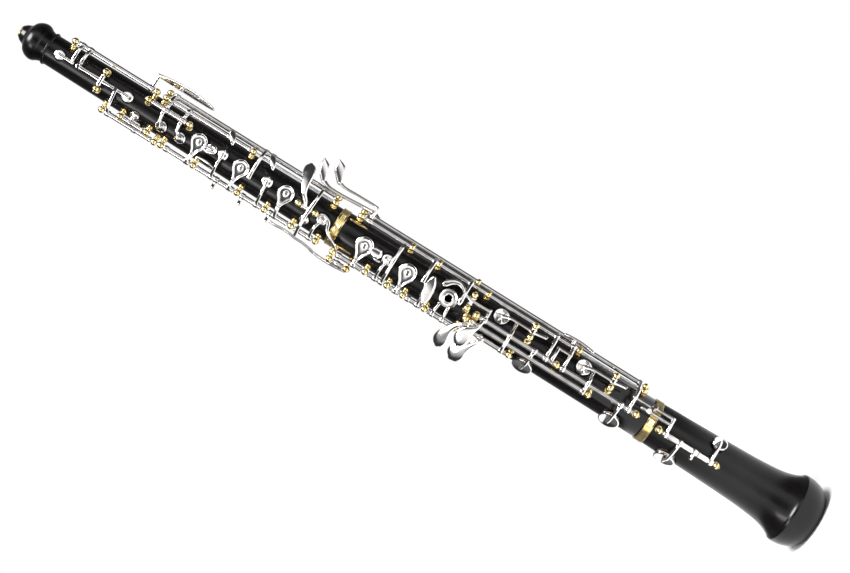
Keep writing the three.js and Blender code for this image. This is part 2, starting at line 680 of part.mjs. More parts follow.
// back: thumb lever
const thumbLine = { turn: 180, out: 17.2, up: 391.4 };
addPiece('thumb_lever_posts', crossPosts(180, 6.3, 17.2, 391.4), gold);
addKey('thumb_lever', rockerHinge(thumbLine), [-3.4, 3.4], [
  bar(spot(180, 17.2, 389.8), spot(180, 18.6, 361), 1.2),
  bar(spot(180, 17.2, 393), spot(180, 17.2, 408), 1.3),
  leaf(spot(180, 17.2, 418), boreAxis, spot(180, 1, 0), 30, 8, 3),
]);

const linkLine = { turn: 142, out: 17 };
addPiece('back_link_posts', postedRod(142, 17, [351.3, 336.7]), gold);
addKey('back_link_lever', hingeAt(linkLine), [339.3, 348.7], [
  strap(346.6, [[142, 17], [160, 18], [179, 15.4]]),
  bar(spot(179, 15.4, 346), spot(179, 15.4, 366), 1.0),
  strap(343, [[142, 17], [118, 21.5]]),
  leaf(spot(114, 22, 343), boreAxis, spot(114, 1, 0), 10, 6, 2),
]);

export default oboe;
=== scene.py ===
import math

import bmesh
import bpy
from mathutils import Matrix, Vector


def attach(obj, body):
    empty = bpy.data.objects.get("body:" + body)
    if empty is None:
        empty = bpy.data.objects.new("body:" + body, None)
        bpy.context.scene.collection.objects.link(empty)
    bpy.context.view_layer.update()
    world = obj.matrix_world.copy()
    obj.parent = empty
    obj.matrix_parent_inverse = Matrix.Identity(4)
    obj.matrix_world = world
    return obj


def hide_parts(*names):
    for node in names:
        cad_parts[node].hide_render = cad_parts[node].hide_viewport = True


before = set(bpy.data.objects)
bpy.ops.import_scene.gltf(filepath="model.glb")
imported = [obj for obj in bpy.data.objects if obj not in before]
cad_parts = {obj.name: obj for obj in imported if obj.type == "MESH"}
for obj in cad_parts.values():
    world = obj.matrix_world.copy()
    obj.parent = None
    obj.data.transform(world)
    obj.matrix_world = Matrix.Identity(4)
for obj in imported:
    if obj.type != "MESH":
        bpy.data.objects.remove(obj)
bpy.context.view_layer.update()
mm = 0.001
print("frame loaded:", len(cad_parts), "nodes")

# Everything below is worked out in millimetres, and shrunk to metres when a mesh is made.
# A place round the body is (turn, out, up): degrees from the front towards +X, distance from the bore, height.
jointLine = 360  # the upper joint meets the lower joint
bellLine = 125.4  # the lower joint meets the bell
bellShoulder = 119.6  # foot of the bell's socket ring
tenonLong = 18
socketLong = 19
fitGap = 0.3
upright = Vector((0, 0, 1))


def place(turn, out, up):
    a = math.radians(turn)
    return Vector((out * math.sin(a), -out * math.cos(a), up))


def beside(turn, side, out, up):  # side runs round the body, square to the direction of turn
    a = math.radians(turn)
    return Vector((out * math.sin(a) + side * math.cos(a), -out * math.cos(a) + side * math.sin(a), up))


def between(x, x0, x1, y0, y1):
    return y0 + (y1 - y0) * (x - x0) / (x1 - x0)


def pieceName(cadNode):  # side_octave_posts becomes sideOctavePosts
    return "".join(word.capitalize() if i else word for i, word in enumerate(cadNode.split("_")))


def woodRadius(up):
    if up > jointLine:
        return between(up, jointLine, 573, 12.1, 10.3)
    if up > bellLine:
        return between(up, bellLine, jointLine, 13.8, 12.6)
    return between(up, 55, bellLine, 16.2, 14.1)


# materials, all from nodes on the object's own coordinates

def newMaterial(name, colour, roughness, metallic):
    material = bpy.data.materials.new(name)
    material.use_nodes = True
    tree = material.node_tree
    shader = tree.nodes["Principled BSDF"]
    shader.inputs["Base Color"].default_value = (*colour, 1)
    shader.inputs["Roughness"].default_value = roughness
    shader.inputs["Metallic"].default_value = metallic
    coordinates = tree.nodes.new("ShaderNodeTexCoord")
    return material, tree, shader, coordinates


def noiseFrom(tree, coordinates, scale, stretch=(1, 1, 1), detail=4):
    mapping = tree.nodes.new("ShaderNodeMapping")
    mapping.inputs["Scale"].default_value = stretch
    noise = tree.nodes.new("ShaderNodeTexNoise")
    noise.inputs["Scale"].default_value = scale
    noise.inputs["Detail"].default_value = detail
    tree.links.new(coordinates.outputs["Object"], mapping.inputs["Vector"])
    tree.links.new(mapping.outputs["Vector"], noise.inputs["Vector"])
    return noise


def rampFrom(tree, source, stops):
    ramp = tree.nodes.new("ShaderNodeValToRGB")
    while len(ramp.color_ramp.elements) < len(stops):
        ramp.color_ramp.elements.new(0.5)
    for element, (at, colour) in zip(ramp.color_ramp.elements, stops):
        element.position = at
        element.color = (*colour, 1)
    tree.links.new(source.outputs["Fac"], ramp.inputs["Fac"])
    return ramp


def rangeFrom(tree, source, low, high):
    change = tree.nodes.new("ShaderNodeMapRange")
    change.inputs["To Min"].default_value = low
    change.inputs["To Max"].default_value = high
    tree.links.new(source.outputs["Fac"], change.inputs["Value"])
    return change


def bumpFrom(tree, source, shader, strength, depth):
    bump = tree.nodes.new("ShaderNodeBump")
    bump.inputs["Strength"].default_value = strength
    bump.inputs["Distance"].default_value = depth
    tree.links.new(source.outputs["Fac"], bump.inputs["Height"])
    tree.links.new(bump.outputs["Normal"], shader.inputs["Normal"])


grenadilla = {"dark": (0.002, 0.0018, 0.002), "grain": (0.007, 0.0056, 0.0056), "gloss": (0.17, 0.29)}


def grenadillaMaterial():
    material, tree, shader, coordinates = newMaterial("blackWood", grenadilla["dark"], 0.3, 0)
    grain = noiseFrom(tree, coordinates, 900, (1, 1, 0.04), 6)  # fine pores drawn out along the bore
    cloud = noiseFrom(tree, coordinates, 60, (1, 1, 0.2), 3)
    colour = rampFrom(tree, grain, [(0.35, grenadilla["dark"]), (0.75, grenadilla["grain"])])
    tree.links.new(colour.outputs["Color"], shader.inputs["Base Color"])
    gloss = rangeFrom(tree, cloud, *grenadilla["gloss"])
    tree.links.new(gloss.outputs["Result"], shader.inputs["Roughness"])
    bumpFrom(tree, grain, shader, 0.08, 0.00004)
    shader.inputs["Specular IOR Level"].default_value = 0.3
    return material


silverPlate = {"bright": (0.86, 0.84, 0.82), "warm": (0.66, 0.62, 0.58), "gloss": (0.05, 0.14)}
goldPlate = {"bright": (0.84, 0.69, 0.34), "warm": (0.58, 0.43, 0.16), "gloss": (0.09, 0.2)}
rodSteel = {"bright": (0.62, 0.62, 0.63), "warm": (0.42, 0.41, 0.4), "gloss": (0.2, 0.35)}
reedBrass = {"bright": (0.78, 0.6, 0.32), "warm": (0.6, 0.42, 0.2), "gloss": (0.2, 0.38)}


def platedMaterial(name, plate, scale=140):
    material, tree, shader, coordinates = newMaterial(name, plate["bright"], 0.1, 1)
    tarnish = noiseFrom(tree, coordinates, scale, (1, 1, 1), 5)
    polish = noiseFrom(tree, coordinates, scale * 9, (1, 1, 0.25), 3)  # marks of the polishing cloth
    colour = rampFrom(tree, tarnish, [(0.3, plate["warm"]), (0.52, plate["bright"])])
    tree.links.new(colour.outputs["Color"], shader.inputs["Base Color"])
    gloss = rangeFrom(tree, polish, *plate["gloss"])
    tree.links.new(gloss.outputs["Result"], shader.inputs["Roughness"])
    bumpFrom(tree, polish, shader, 0.05, 0.00002)
    return material


corkBark = {"light": (0.6, 0.42, 0.26), "dark": (0.3, 0.17, 0.09)}
padSkin = {"light": (0.72, 0.6, 0.44), "dark": (0.5, 0.36, 0.22)}


def softMaterial(name, tone, scale):
    material, tree, shader, coordinates = newMaterial(name, tone["light"], 0.85, 0)
    specks = noiseFrom(tree, coordinates, scale, (1, 1, 1), 8)
    colour = rampFrom(tree, specks, [(0.36, tone["dark"]), (0.56, tone["light"])])
    tree.links.new(colour.outputs["Color"], shader.inputs["Base Color"])
    bumpFrom(tree, specks, shader, 0.5, 0.00015)
    return material


wood = grenadillaMaterial()
silver = platedMaterial("silverPlate", silverPlate)
gold = platedMaterial("goldPlate", goldPlate)
steel = platedMaterial("rodSteel", rodSteel, 260)
brass = platedMaterial("reedBrass", reedBrass, 200)
cork = softMaterial("corkBark", corkBark, 900)
pad = softMaterial("padSkin", padSkin, 1500)
print("materials ready")


# mesh code

def flowing(rows, steps):  # a smooth run through rows of numbers
    out = []
    for i in range(len(rows) - 1):
        a, b, c, d = rows[max(i - 1, 0)], rows[i], rows[i + 1], rows[min(i + 2, len(rows) - 1)]
        for k in range(steps):
            t = k / steps
            out.append([
                0.5 * (2 * q + (r - p) * t + (2 * p - 5 * q + 4 * r - s) * t * t + (3 * q - p - 3 * r + s) * t ** 3)
                for p, q, r, s in zip(a, b, c, d)
            ])
    out.append(list(rows[-1]))
    return out


def bridge(bm, a, b):
    count = max(len(a), len(b))
    for i in range(count):
        j = (i + 1) % count
        if len(a) == 1:
            bm.faces.new((a[0], b[j], b[i]))
        elif len(b) == 1:
            bm.faces.new((a[i], a[j], b[0]))
        else:
            bm.faces.new((a[i], a[j], b[j], b[i]))


def turnOn(bm, base, axis, profile, sides=28, closed=False):  # profile: (radius, distance up the axis)
    axis = axis.normalized()
    one = axis.orthogonal().normalized()
    two = axis.cross(one)
    rings = []
    for radius, along in profile:
        middle = base + axis * along
        if radius < 1e-4:
            rings.append([bm.verts.new(middle)])
            continue
        angles = [2 * math.pi * i / sides for i in range(sides)]
        rings.append([bm.verts.new(middle + (one * math.cos(a) + two * math.sin(a)) * radius) for a in angles])
    for a, b in zip(rings, rings[1:] + (rings[:1] if closed else [])):
        bridge(bm, a, b)


def sweepOn(bm, stops, sides=14, steps=5, square=2.5):  # stops: (point, facing, width, thickness)
    # square shapes the section: 2 is round, and more is squarer
    rows = flowing([[*p, *f, w, t] for p, f, w, t in stops], steps)
    places = [Vector(r[:3]) for r in rows]
    rings = []
    for i, row in enumerate(rows):
        along = (places[min(i + 1, len(rows) - 1)] - places[max(i - 1, 0)]).normalized()
        face = Vector(row[3:6])
        face = (face - along * face.dot(along)).normalized()
        side = along.cross(face)
        wide, thick = max(row[6], 0.25), max(row[7], 0.25)
        angles = [0]
        if i == 0:  # rounded ends
            angles = [-75, -50, -25, 0]
        if i == len(rows) - 1:
            angles = [0, 25, 50, 75]
        for angle in map(math.radians, angles):
            middle = places[i] + along * min(wide, thick) / 2 * math.sin(angle)
            rings.append((middle, side, face, wide, thick, math.cos(angle)))
    loops = []
    for middle, side, face, wide, thick, shrink in rings:
        loop = []
        for k in range(sides):
            a = 2 * math.pi * k / sides
            c, s = math.cos(a), math.sin(a)
            x = math.copysign(abs(c) ** (2 / square), c) * wide / 2 * shrink
            y = math.copysign(abs(s) ** (2 / square), s) * thick / 2 * shrink
            loop.append(bm.verts.new(middle + side * x + face * y))
        loops.append(loop)
    for a, b in zip(loops, loops[1:]):
        bridge(bm, a, b)
    bm.faces.new(loops[0])
    bm.faces.new(loops[-1])


def addPiece(bm, name, material, body, sharp=38):  # edges steeper than sharp stay crisp
    bmesh.ops.recalc_face_normals(bm, faces=bm.faces)
    for face in bm.faces:
        face.smooth = True
    for edge in bm.edges:
        if len(edge.link_faces) == 2 and edge.calc_face_angle(0) > math.radians(sharp):
            edge.smooth = False
    bmesh.ops.scale(bm, vec=(mm, mm, mm), verts=bm.verts)
    mesh = bpy.data.meshes.new(name)
    bm.to_mesh(mesh)
    bm.free()
    piece = bpy.data.objects.new(name, mesh)
    bpy.context.scene.collection.objects.link(piece)
    mesh.materials.append(material)
    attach(piece, body)
    return piece


# tone holes and their cups: turn, up, cup radius, hole radius
toneHoles = {
    "sideOctave": (0, 564.2, 3.6, 0.6), "firstOctave": (0, 513.5, 3.8, 0.6),
    "thirdOctave": (-43, 503.8, 3.1, 0.6),
    "upperTrill": (-23, 485.6, 3.8, 1.6), "lowerTrill": (-23, 471.7, 3.8, 1.7),
    "bKey": (2, 459.4, 5.5, 1.5),
    "cVent": (6, 442.3, 3.4, 1.6), "aKey": (2, 428.4, 5.5, 2), "bFlatVent": (7, 409.4, 3.6, 1.9),
    "gKey": (7, 395.4, 5.5, 2.2), "gSharp": (-32, 377.2, 3, 1.7), "bridge": (0, 367.2, 3.7, 1.8),
    "fSharp": (-1, 335.8, 6, 2.4), "fSharpDuct": (-1, 326.2, 3.3, 1.2), "fSharpVent": (-1, 318.5, 3.7, 1.8),
    "eKey": (-1, 303.6, 6, 2.6), "fVent": (-6, 287.2, 3.6, 2), "dKey": (-3, 273.2, 6.2, 2.7),
    "eFlat": (29, 238.5, 5.4, 2.6), "lowC": (-64, 210.6, 7, 3.6), "cSharp": (29, 177.2, 5.4, 2.8),
    "lowB": (-62, 145.6, 7.2, 4), "bellKey": (-72, 102.3, 7.4, 4.2), "bellVent": (42, 78.5, 5.1, 2.4),
}
seatMargin = 0.5
padGap = 0.3
cupTall = 2.6


def seatOut(hole):
    turn, up, cup, bore = toneHoles[hole]
    return math.sqrt(woodRadius(up) ** 2 - (cup + seatMargin) ** 2)


def cupTop(hole):
    return seatOut(hole) + padGap + cupTall


# the three wooden joints

def cutToneHoles(piece, lowest, highest):  # each hole has a flat seat, a chamfer and its bore
    for hole, (turn, up, cup, bore) in toneHoles.items():
        if not lowest < up < highest:
            continue
        seat = seatOut(hole)
        cutter = bmesh.new()
        radius = cup + seatMargin
        turnOn(cutter, place(turn, seat, up), place(turn, 1, 0),
               [(0, -seat * 0.6), (bore, -seat * 0.6), (bore, -0.35), (bore + 0.35, 0), (radius, 0),
                (radius, 9), (0, 9)],
               sides=40)
        bmesh.ops.recalc_face_normals(cutter, faces=cutter.faces)
        bmesh.ops.scale(cutter, vec=(mm, mm, mm), verts=cutter.verts)
        mesh = bpy.data.meshes.new("cutter")
        cutter.to_mesh(mesh)
        cutter.free()
        tool = bpy.data.objects.new("cutter", mesh)
        bpy.context.scene.collection.objects.link(tool)
        cut = piece.modifiers.new("toneHole", "BOOLEAN")
        cut.operation = "DIFFERENCE"
        cut.solver = "MANIFOLD"
        cut.object = tool
        bpy.context.view_layer.update()
        evaluated = piece.evaluated_get(bpy.context.evaluated_depsgraph_get())
        result = bpy.data.meshes.new_from_object(evaluated)
        piece.modifiers.clear()
        piece.data = result
        bpy.data.objects.remove(tool)
    shaped = bmesh.new()
    shaped.from_mesh(piece.data)
    for edge in shaped.edges:
        edge.smooth = not (len(edge.link_faces) == 2 and edge.calc_face_angle(0) > math.radians(38))
    for face in shaped.faces:
        face.smooth = True
    shaped.to_mesh(piece.data)
    shaped.free()


def boreRadius(up):
    return between(up, 106, 576, 8, 2.2)


upperJoint = {
    "tip": [(3.7, 594.6), (5.0, 594.7), (5.6, 594.1), (7.0, 591.2)],  # round the reed well
    "knob": [(7.0, 591.2), (8.2, 590), (10.4, 588.6), (12.1, 586), (12.8, 583.2), (12.4, 580.8),
             (11.1, 578.6), (10.3, 576.4), (10.1, 575.2)],
    "flange": [(10.1, 575.1), (10.9, 574.9), (11.2, 574.3), (10.9, 573.6), (10.35, 573.2)],
    "tenon": 8.6,
}
lowerJoint = {"socket": 9.2, "tenon": 10.3, "ringSeat": 12.0}
bell = {
    "flare": [(14.2, bellShoulder), (14.85, 98), (15.5, 76), (16.2, 55), (17.0, 42), (18.2, 31.5),
              (20.0, 24.6), (22.1, 20.1), (23.3, 18.6)],
    "corner": [(23.3, 18.6), (23.8, 17.7), (24, 16.4), (23.75, 12), (22.7, 7.6), (20.9, 3.8), (18.9, 1.3),
               (17.8, 0.3), (17.2, 0)],
    "mouth": [(15.5, 0), (15.0, 0.5), (14.4, 10), (12.4, 30), (10.4, 60), (9, 90), (8.7, 106.9)],
}


def turnedJoint(name, parts, sides, cadNode, lowest, highest):
    bm = bmesh.new()
    profile = []
    for part in parts:
        for row in part:
            if not profile or (Vector(row) - Vector(profile[-1])).length > 1e-4:
                profile.append(tuple(row))
    turnOn(bm, Vector((0, 0, 0)), upright, profile, sides, closed=True)
    piece = addPiece(bm, name, wood, "oboe_body")
    cutToneHoles(piece, lowest, highest)
    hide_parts(cadNode)
    return piece


def makeWood():
    upper, lower = upperJoint, lowerJoint
    turnedJoint("upperJoint", [
        flowing(upper["tip"], 4), flowing(upper["knob"], 5), flowing(upper["flange"], 4),
        [(10.3, 573), (10.3, 572.9), (12.1, jointLine + fitGap), (11.9, jointLine)],
        [(upper["tenon"], jointLine), (upper["tenon"], jointLine - tenonLong), (boreRadius(342), 342),
         (boreRadius(574), 574), (3.7, 574)],
    ], 96, "upper_joint", jointLine, 600)
    turnedJoint("lowerJoint", [
        [(lower["ringSeat"], jointLine - fitGap), (lower["ringSeat"], 354), (12.5, 354), (12.65, 353.8),
         (13.78, bellLine + 0.6), (13.6, bellLine + fitGap)],
        [(lower["tenon"], bellLine + fitGap), (lower["tenon"], bellLine - tenonLong),
         (boreRadius(106), bellLine - tenonLong)],
        [(boreRadius(jointLine - socketLong), jointLine - socketLong),
         (lower["socket"], jointLine - socketLong), (lower["socket"], jointLine - fitGap)],
    ], 96, "lower_joint", bellLine, jointLine)
    turnedJoint("bell", [
        [(13.4, bellLine), (13.4, bellShoulder)], flowing(bell["flare"], 4), flowing(bell["corner"], 4),
        flowing(bell["mouth"], 4),
        [(10.9, 106.9), (10.9, bellLine)],
    ], 112, "bell", 0, bellShoulder)


makeWood()
print("wood turned and drilled")


# rings, reed well, tenon corks, thumb rest

def makeRing(name, outline, cadNode, material, sides=96):
    bm = bmesh.new()
    turnOn(bm, Vector((0, 0, 0)), upright, outline, sides, closed=True)
    piece = addPiece(bm, name, material, "oboe_body", 30)
    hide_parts(cadNode)


def ribbed(outer, inner, low, high, ribs):  # a socket ring with turned beads between two plain edges
    out = [(inner, low), (outer - 0.25, low), (outer, low + 0.25)]
    edge = (high - low) * 0.2
    span = (high - low - 2 * edge) / ribs
    for i in range(ribs):
        z = low + edge + span * i
        out += [(outer, z), (outer - 0.22, z + span * 0.12), (outer - 0.02, z + span * 0.5),
                (outer - 0.22, z + span * 0.88)]
    return out + [(outer, high - edge), (outer, high - 0.25), (outer - 0.25, high), (inner, high)]


def makeFittings():
    makeRing("lowerSocketRing", ribbed(13.2, 12.3, 354.3, 359.7, 3), "lower_socket_ring", gold)
    makeRing("bellSocketRing", ribbed(14.8, 13.7, bellShoulder + 0.1, bellLine, 4), "bell_socket_ring",
             gold)
    makeRing("reedWellTube", [(2.45, 575), (3.3, 575), (3.3, 594.9), (4.3, 595.1), (4.4, 595.6), (4.1, 596),
                              (2.7, 596), (2.45, 595.7)], "reed_well_tube", brass, 48)
    for name, radius, top, node in (("upperTenonCork", 8.6, jointLine, "upper_tenon_cork"),
                                    ("lowerTenonCork", 10.3, bellLine, "lower_tenon_cork")):
        low, high = top - 15, top - 3
        makeRing(name, [(radius + 0.15, low), (radius + 0.3, low), (radius + 0.45, low + 0.6),
                        (radius + 0.45, high - 0.6), (radius + 0.3, high),
                        (radius + 0.15, high)], node, cork)


makeFittings()

thumbRest = {
    "plate": [(0, 340), (3.6, 335.6), (7, 331), (5, 327), (3.2, 324)],  # its right half
    "middle": 331,
    "screw": [(0, 0), (1.7, 0), (1.75, 0.3), (1.3, 0.75), (0.5, 0.95), (0, 0.97)], "screwUp": 333.5,
    "shelf": 13.45, "shelfCentre": 312, "shelfThick": 2.1, "reach": 11,
}


def makeThumbRest():
    back = woodRadius(330) + fitGap
    middle, reach, shelf = thumbRest["middle"], thumbRest["reach"], thumbRest["shelf"]
    bm = bmesh.new()
    half = thumbRest["plate"]
    outline = half + [(-x, z) for x, z in reversed(half[1:])]
    rings = []
    for shrink, y in ((0.97, back), (1, back + 0.25), (1, back + 1.15), (0.94, back + 1.5)):
        rings.append([bm.verts.new((x * shrink, y, middle + (z - middle) * shrink)) for x, z in outline])
    for a, b in zip(rings, rings[1:]):
        bridge(bm, a, b)
    bm.faces.new(rings[0])
    bm.faces.new(rings[-1])
    turnOn(bm, Vector((0, back + 1.4, thumbRest["screwUp"])), Vector((0, 1, 0)), thumbRest["screw"], 24)
    stops = []
    for k in range(-4, 5):  # the curved shelf over the thumb, swept round its arch
        a = math.radians(90 - 10.5 * k)
        point = (shelf * math.cos(a), back + reach / 2, thumbRest["shelfCentre"] + shelf * math.sin(a))
        lean = 1 - 0.12 * (abs(k) / 4) ** 2
        stops.append((Vector(point), Vector((math.cos(a), 0, math.sin(a))), reach * lean,
                      thumbRest["shelfThick"]))
    sweepOn(bm, stops, 20, 3, 5)
    piece = addPiece(bm, "thumbRest", gold, "oboe_body")
    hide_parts("thumb_rest")


makeThumbRest()
print("fittings made")


# posts and rods

postShape = {"ball": 2.2, "neck": 0.95, "bead": 1.75, "slimBead": 1.2, "rod": 0.75, "rodEnd": 1.9}


def postOn(bm, foot, head, bead=postShape["bead"]):
    up = (head - foot).normalized()
    tall = (head - foot).length
    ball, neck = postShape["ball"], postShape["neck"]
    if tall < 4.6:
        bead = 1.35
    # a thin base, a bead, a plain neck, and the ball
    profile = [(0, 0), (bead + 0.55, 0), (bead + 0.55, 0.25), (bead - 0.2, 0.45)]
    profile += [(bead * math.cos(math.radians(a)), 0.35 + bead * (0.78 + 0.85 * math.sin(math.radians(a))))
                for a in (-38, -15, 10, 35, 55)]
    neckTop = tall - ball - 0.45
    profile += [(neck, 0.5 + bead * 1.62)]
    if neckTop > 0.9 + bead * 1.62:
        profile += [(neck, neckTop - 0.3), (neck + 0.5, neckTop), (neck + 0.5, neckTop + 0.3)]
    profile += [(ball * math.cos(math.radians(a)), tall + ball * math.sin(math.radians(a)))
                for a in (-58, -42, -26, -10, 8, 26, 42, 58, 74)]
    turnOn(bm, foot, up, profile + [(0, tall + ball)], 28)


def rodOn(bm, start, end):  # the steel rod through the posts, with a rounded head at each end
    along = (end - start).normalized()
    long = (end - start).length
    radius = postShape["rod"]
    turnOn(bm, start, along, [(0, 0), (radius, 0), (radius, long), (0, long)], 16)
    for at, outward in ((end, along), (start, -along)):
        turnOn(bm, at, outward, [(0, 0), (0.95, 0), (0.95, 0.3), (0.75, 0.5), (0, 0.5)], 20)


def finishPosts(cadNode, golden, steely):
    name = pieceName(cadNode)
    piece = addPiece(golden, name, gold, "oboe_body")
    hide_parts(cadNode)
    addPiece(steely, name.replace("Posts", "Rods"), steel, "oboe_body")


def makePosts(cadNode, rows, feet=(), bead=postShape["bead"]):  # rows: (turn, out, heights of the posts)
    golden, steely = bmesh.new(), bmesh.new()
    for turn, out, heights in rows:
        for up in heights:
            postOn(golden, place(turn, woodRadius(up) + 0.25, up), place(turn, out, up), bead)
        low, top = min(heights) - postShape["rodEnd"], max(heights) + postShape["rodEnd"]
        rodOn(steely, place(turn, out, low), place(turn, out, top))
    for up, fromTurn, toTurn in feet:  # a shared foot under posts that stand side by side
        stops = []
        for k in range(6):
            turn = between(k, 0, 5, fromTurn, toTurn)
            stops.append((place(turn, woodRadius(up) + 0.85, up), place(turn, 1, 0), 4.4, 1.1))
        sweepOn(golden, stops, 14, 2, 5)
    finishPosts(cadNode, golden, steely)


def makeCrossPosts(cadNode, turn, half, out, up):  # two posts side by side, for a rocking lever
    golden, steely = bmesh.new(), bmesh.new()
    floor = math.sqrt(woodRadius(up) ** 2 - (half - 1.3) ** 2) + fitGap
    for side in (-half, half):
        postOn(golden, beside(turn, side, floor, up), beside(turn, side, out, up))
    end = half + postShape["rodEnd"]
    rodOn(steely, beside(turn, -end, out, up), beside(turn, end, out, up))
    finishPosts(cadNode, golden, steely)


makePosts("side_octave_posts", [(50, 16.6, [560.3, 499.5])])
makeCrossPosts("octave_rocker_posts", 0, 6.2, 15.6, 532.4)
makePosts("thumb_octave_posts", [(-70, 16.6, [524.6, 485.2])])
makePosts("third_octave_posts", [(-54, 16, [511.6, 492])])
makePosts("trill_vent_posts", [(20.5, 16.2, [500.4, 470])])
makePosts("trill_lever_posts", [(70, 17.6, [492.3, 366]), (50, 16.6, [492.3, 427.3, 366])],
          [(492.3, 50, 70), (366, 50, 70)])
makePosts("left_stack_posts", [(-62, 17, [480.2, 456, 422.9, 402.5, 382.7, 364.3])])
makePosts("g_sharp_posts", [(0, 17.4, [385.4, 372.8])], bead=postShape["slimBead"])
makePosts("left_lever_posts", [(60, 16.4, [347.5, 184.4, 136]), (78, 17.8, [347.5, 136])],
          [(347.5, 60, 78), (136, 60, 78)])
makePosts("right_stack_posts",
          [(-56, 18, [351.3, 327.2, 310.7, 298.9, 282.7, 259.5]), (-75, 20.5, [351.3, 338.4])],
          [(351.3, -75, -56)])
makeCrossPosts("banana_key_posts", 14, 4.8, 18.4, 260)
makePosts("front_lever_posts",
          [(-3, 18.8, [252.4, 193.1, 134]), (-20, 18.6, [257, 166.6]), (-38, 18.6, [252.4, 222])],
          [(252.4, -38, -3)])
makeCrossPosts("e_flat_rocker_posts", 29, 4.6, 18.6, 216.5)
makeCrossPosts("c_sharp_rocker_posts", 29, 4.6, 18.6, 156.7)
makePosts("bell_key_posts", [(-5, 20.4, [116.6, 74.6])])
makeCrossPosts("thumb_lever_posts", 180, 6.3, 17.2, 391.4)
makePosts("back_link_posts", [(142, 17, [351.3, 336.7])])


def makeGuides():  # saddles that steady the long lever rods
    bm = bmesh.new()
    for turn, out, up in ((60, 16.4, 309.5), (60, 16.4, 289.3), (60, 16.4, 252.6), (78, 17.8, 262)):
        turnOn(bm, place(turn, out, up - 1.3), upright,
               [(1.78, 0), (2.1, 0), (2.5, 0.45), (2.6, 1.3), (2.5, 2.15), (2.1, 2.6), (1.78, 2.6)], 28,
               closed=True)
        foot = woodRadius(up) + 0.25
        turnOn(bm, place(turn, foot, up), place(turn, 1, 0),
               [(0, 0), (2.1, 0), (2.1, 0.3), (1.3, 0.7), (1.0, out - 2 - foot), (0, out - 2 - foot)], 24)
    addPiece(bm, "leverGuides", gold, "oboe_body")


makeGuides()
print("posts and rods set")


# keys

cupShapes = {  # (share of the cup's radius, millimetres above the seat)
    "vent": [(0, 3.0), (0.22, 2.98), (0.3, 2.75), (0.62, 2.6), (0.86, 2.2), (1, 1.8), (1, 0.9), (0.9, 0.75),
             (0, 0.75)],
    "plateau": [(0.13, 1.2), (0.13, 2.3), (0.2, 2.5), (0.3, 2.28), (0.42, 2.05), (0.66, 2.3), (0.86, 2.85),
                (0.95, 2.9), (1, 2.6), (1, 0.9), (0.92, 0.75), (0.3, 0.75), (0.13, 1.0)],
    "ring": [(0.4, 0.8), (0.4, 2.9), (0.47, 3.1), (0.54, 2.9), (0.58, 2.1), (0.76, 2.0), (0.82, 2.75),
             (0.92, 2.95), (1, 2.6), (1, 0.9), (0.92, 0.75), (0.46, 0.75)],
    "small": [(0.5, 0.8), (0.5, 2.8), (0.62, 3.05), (0.86, 2.95), (1, 2.5), (1, 0.9), (0.9, 0.75),
              (0.6, 0.75)],
    "dish": [(0, 1.75), (0.62, 1.7), (0.72, 2.0), (0.8, 2.55), (0.9, 2.7), (0.97, 2.5), (1, 2.1), (1, 0.9),
             (0.94, 0.75), (0, 0.75)],
    "disc": [(0, 2.3), (0.8, 2.25), (0.86, 2.45), (0.95, 2.4), (1, 2.1), (1, 0.9), (0.94, 0.75), (0, 0.75)],
}


def dropOn(bm, base, axis, towards, radius, tail, heights):  # a cup whose top runs out to a point
    axis = axis.normalized()
    one = (towards - axis * towards.dot(axis)).normalized()
    two = axis.cross(one)
    half = [(-1.0, 0.0), (-0.94, 0.34), (-0.77, 0.64), (-0.5, 0.87), (-0.17, 0.985), (0.17, 0.985),
            (0.46, 0.9), (0.72, 0.74), (0.98, 0.57), (1.28, 0.4), (1.6, 0.28), (1.9, 0.2)]
    waist = 0.46  # from here on the drop is stretched or shortened to its tail
    stretch = (waist - tail / radius) / (waist - 1.9)
    outline = [(x if x < waist else waist + (x - waist) * stretch, y) for x, y in half]
    outline = outline + [(x, -y) for x, y in reversed(outline[1:])]
    loops = []
    for share, height, whole in heights:
        loop = []
        for x, y in outline:
            if whole:  # the rim and skirt follow the drop
                u, v = x * radius * share, y * radius * share
            else:  # the hole and the pad side stay round
                a = math.atan2(y, x)
                u, v = radius * share * math.cos(a), radius * share * math.sin(a)
            loop.append(bm.verts.new(base + one * u + two * v + axis * height))
        loops.append(loop)
    for a, b in zip(loops, loops[1:] + loops[:1]):
        bridge(bm, a, b)


dropShape = [  # (share of the outline, height, whether it follows the drop)
    (0.12, 1.6, False), (0.12, 2.15, False), (0.17, 2.42, False), (0.24, 2.3, False), (0.3, 2.0, False),
    (0.46, 1.82, False), (0.7, 1.95, True), (0.84, 2.35, True), (0.9, 2.75, True), (0.955, 2.85, True),
    (1.0, 2.65, True), (1.0, 1.7, True), (0.9, 1.5, True), (0.5, 1.5, False),
]
underCup = [(0.3, 1.6), (0.97, 1.6), (0.97, 0.9), (0.9, 0.75), (0.3, 0.75)]


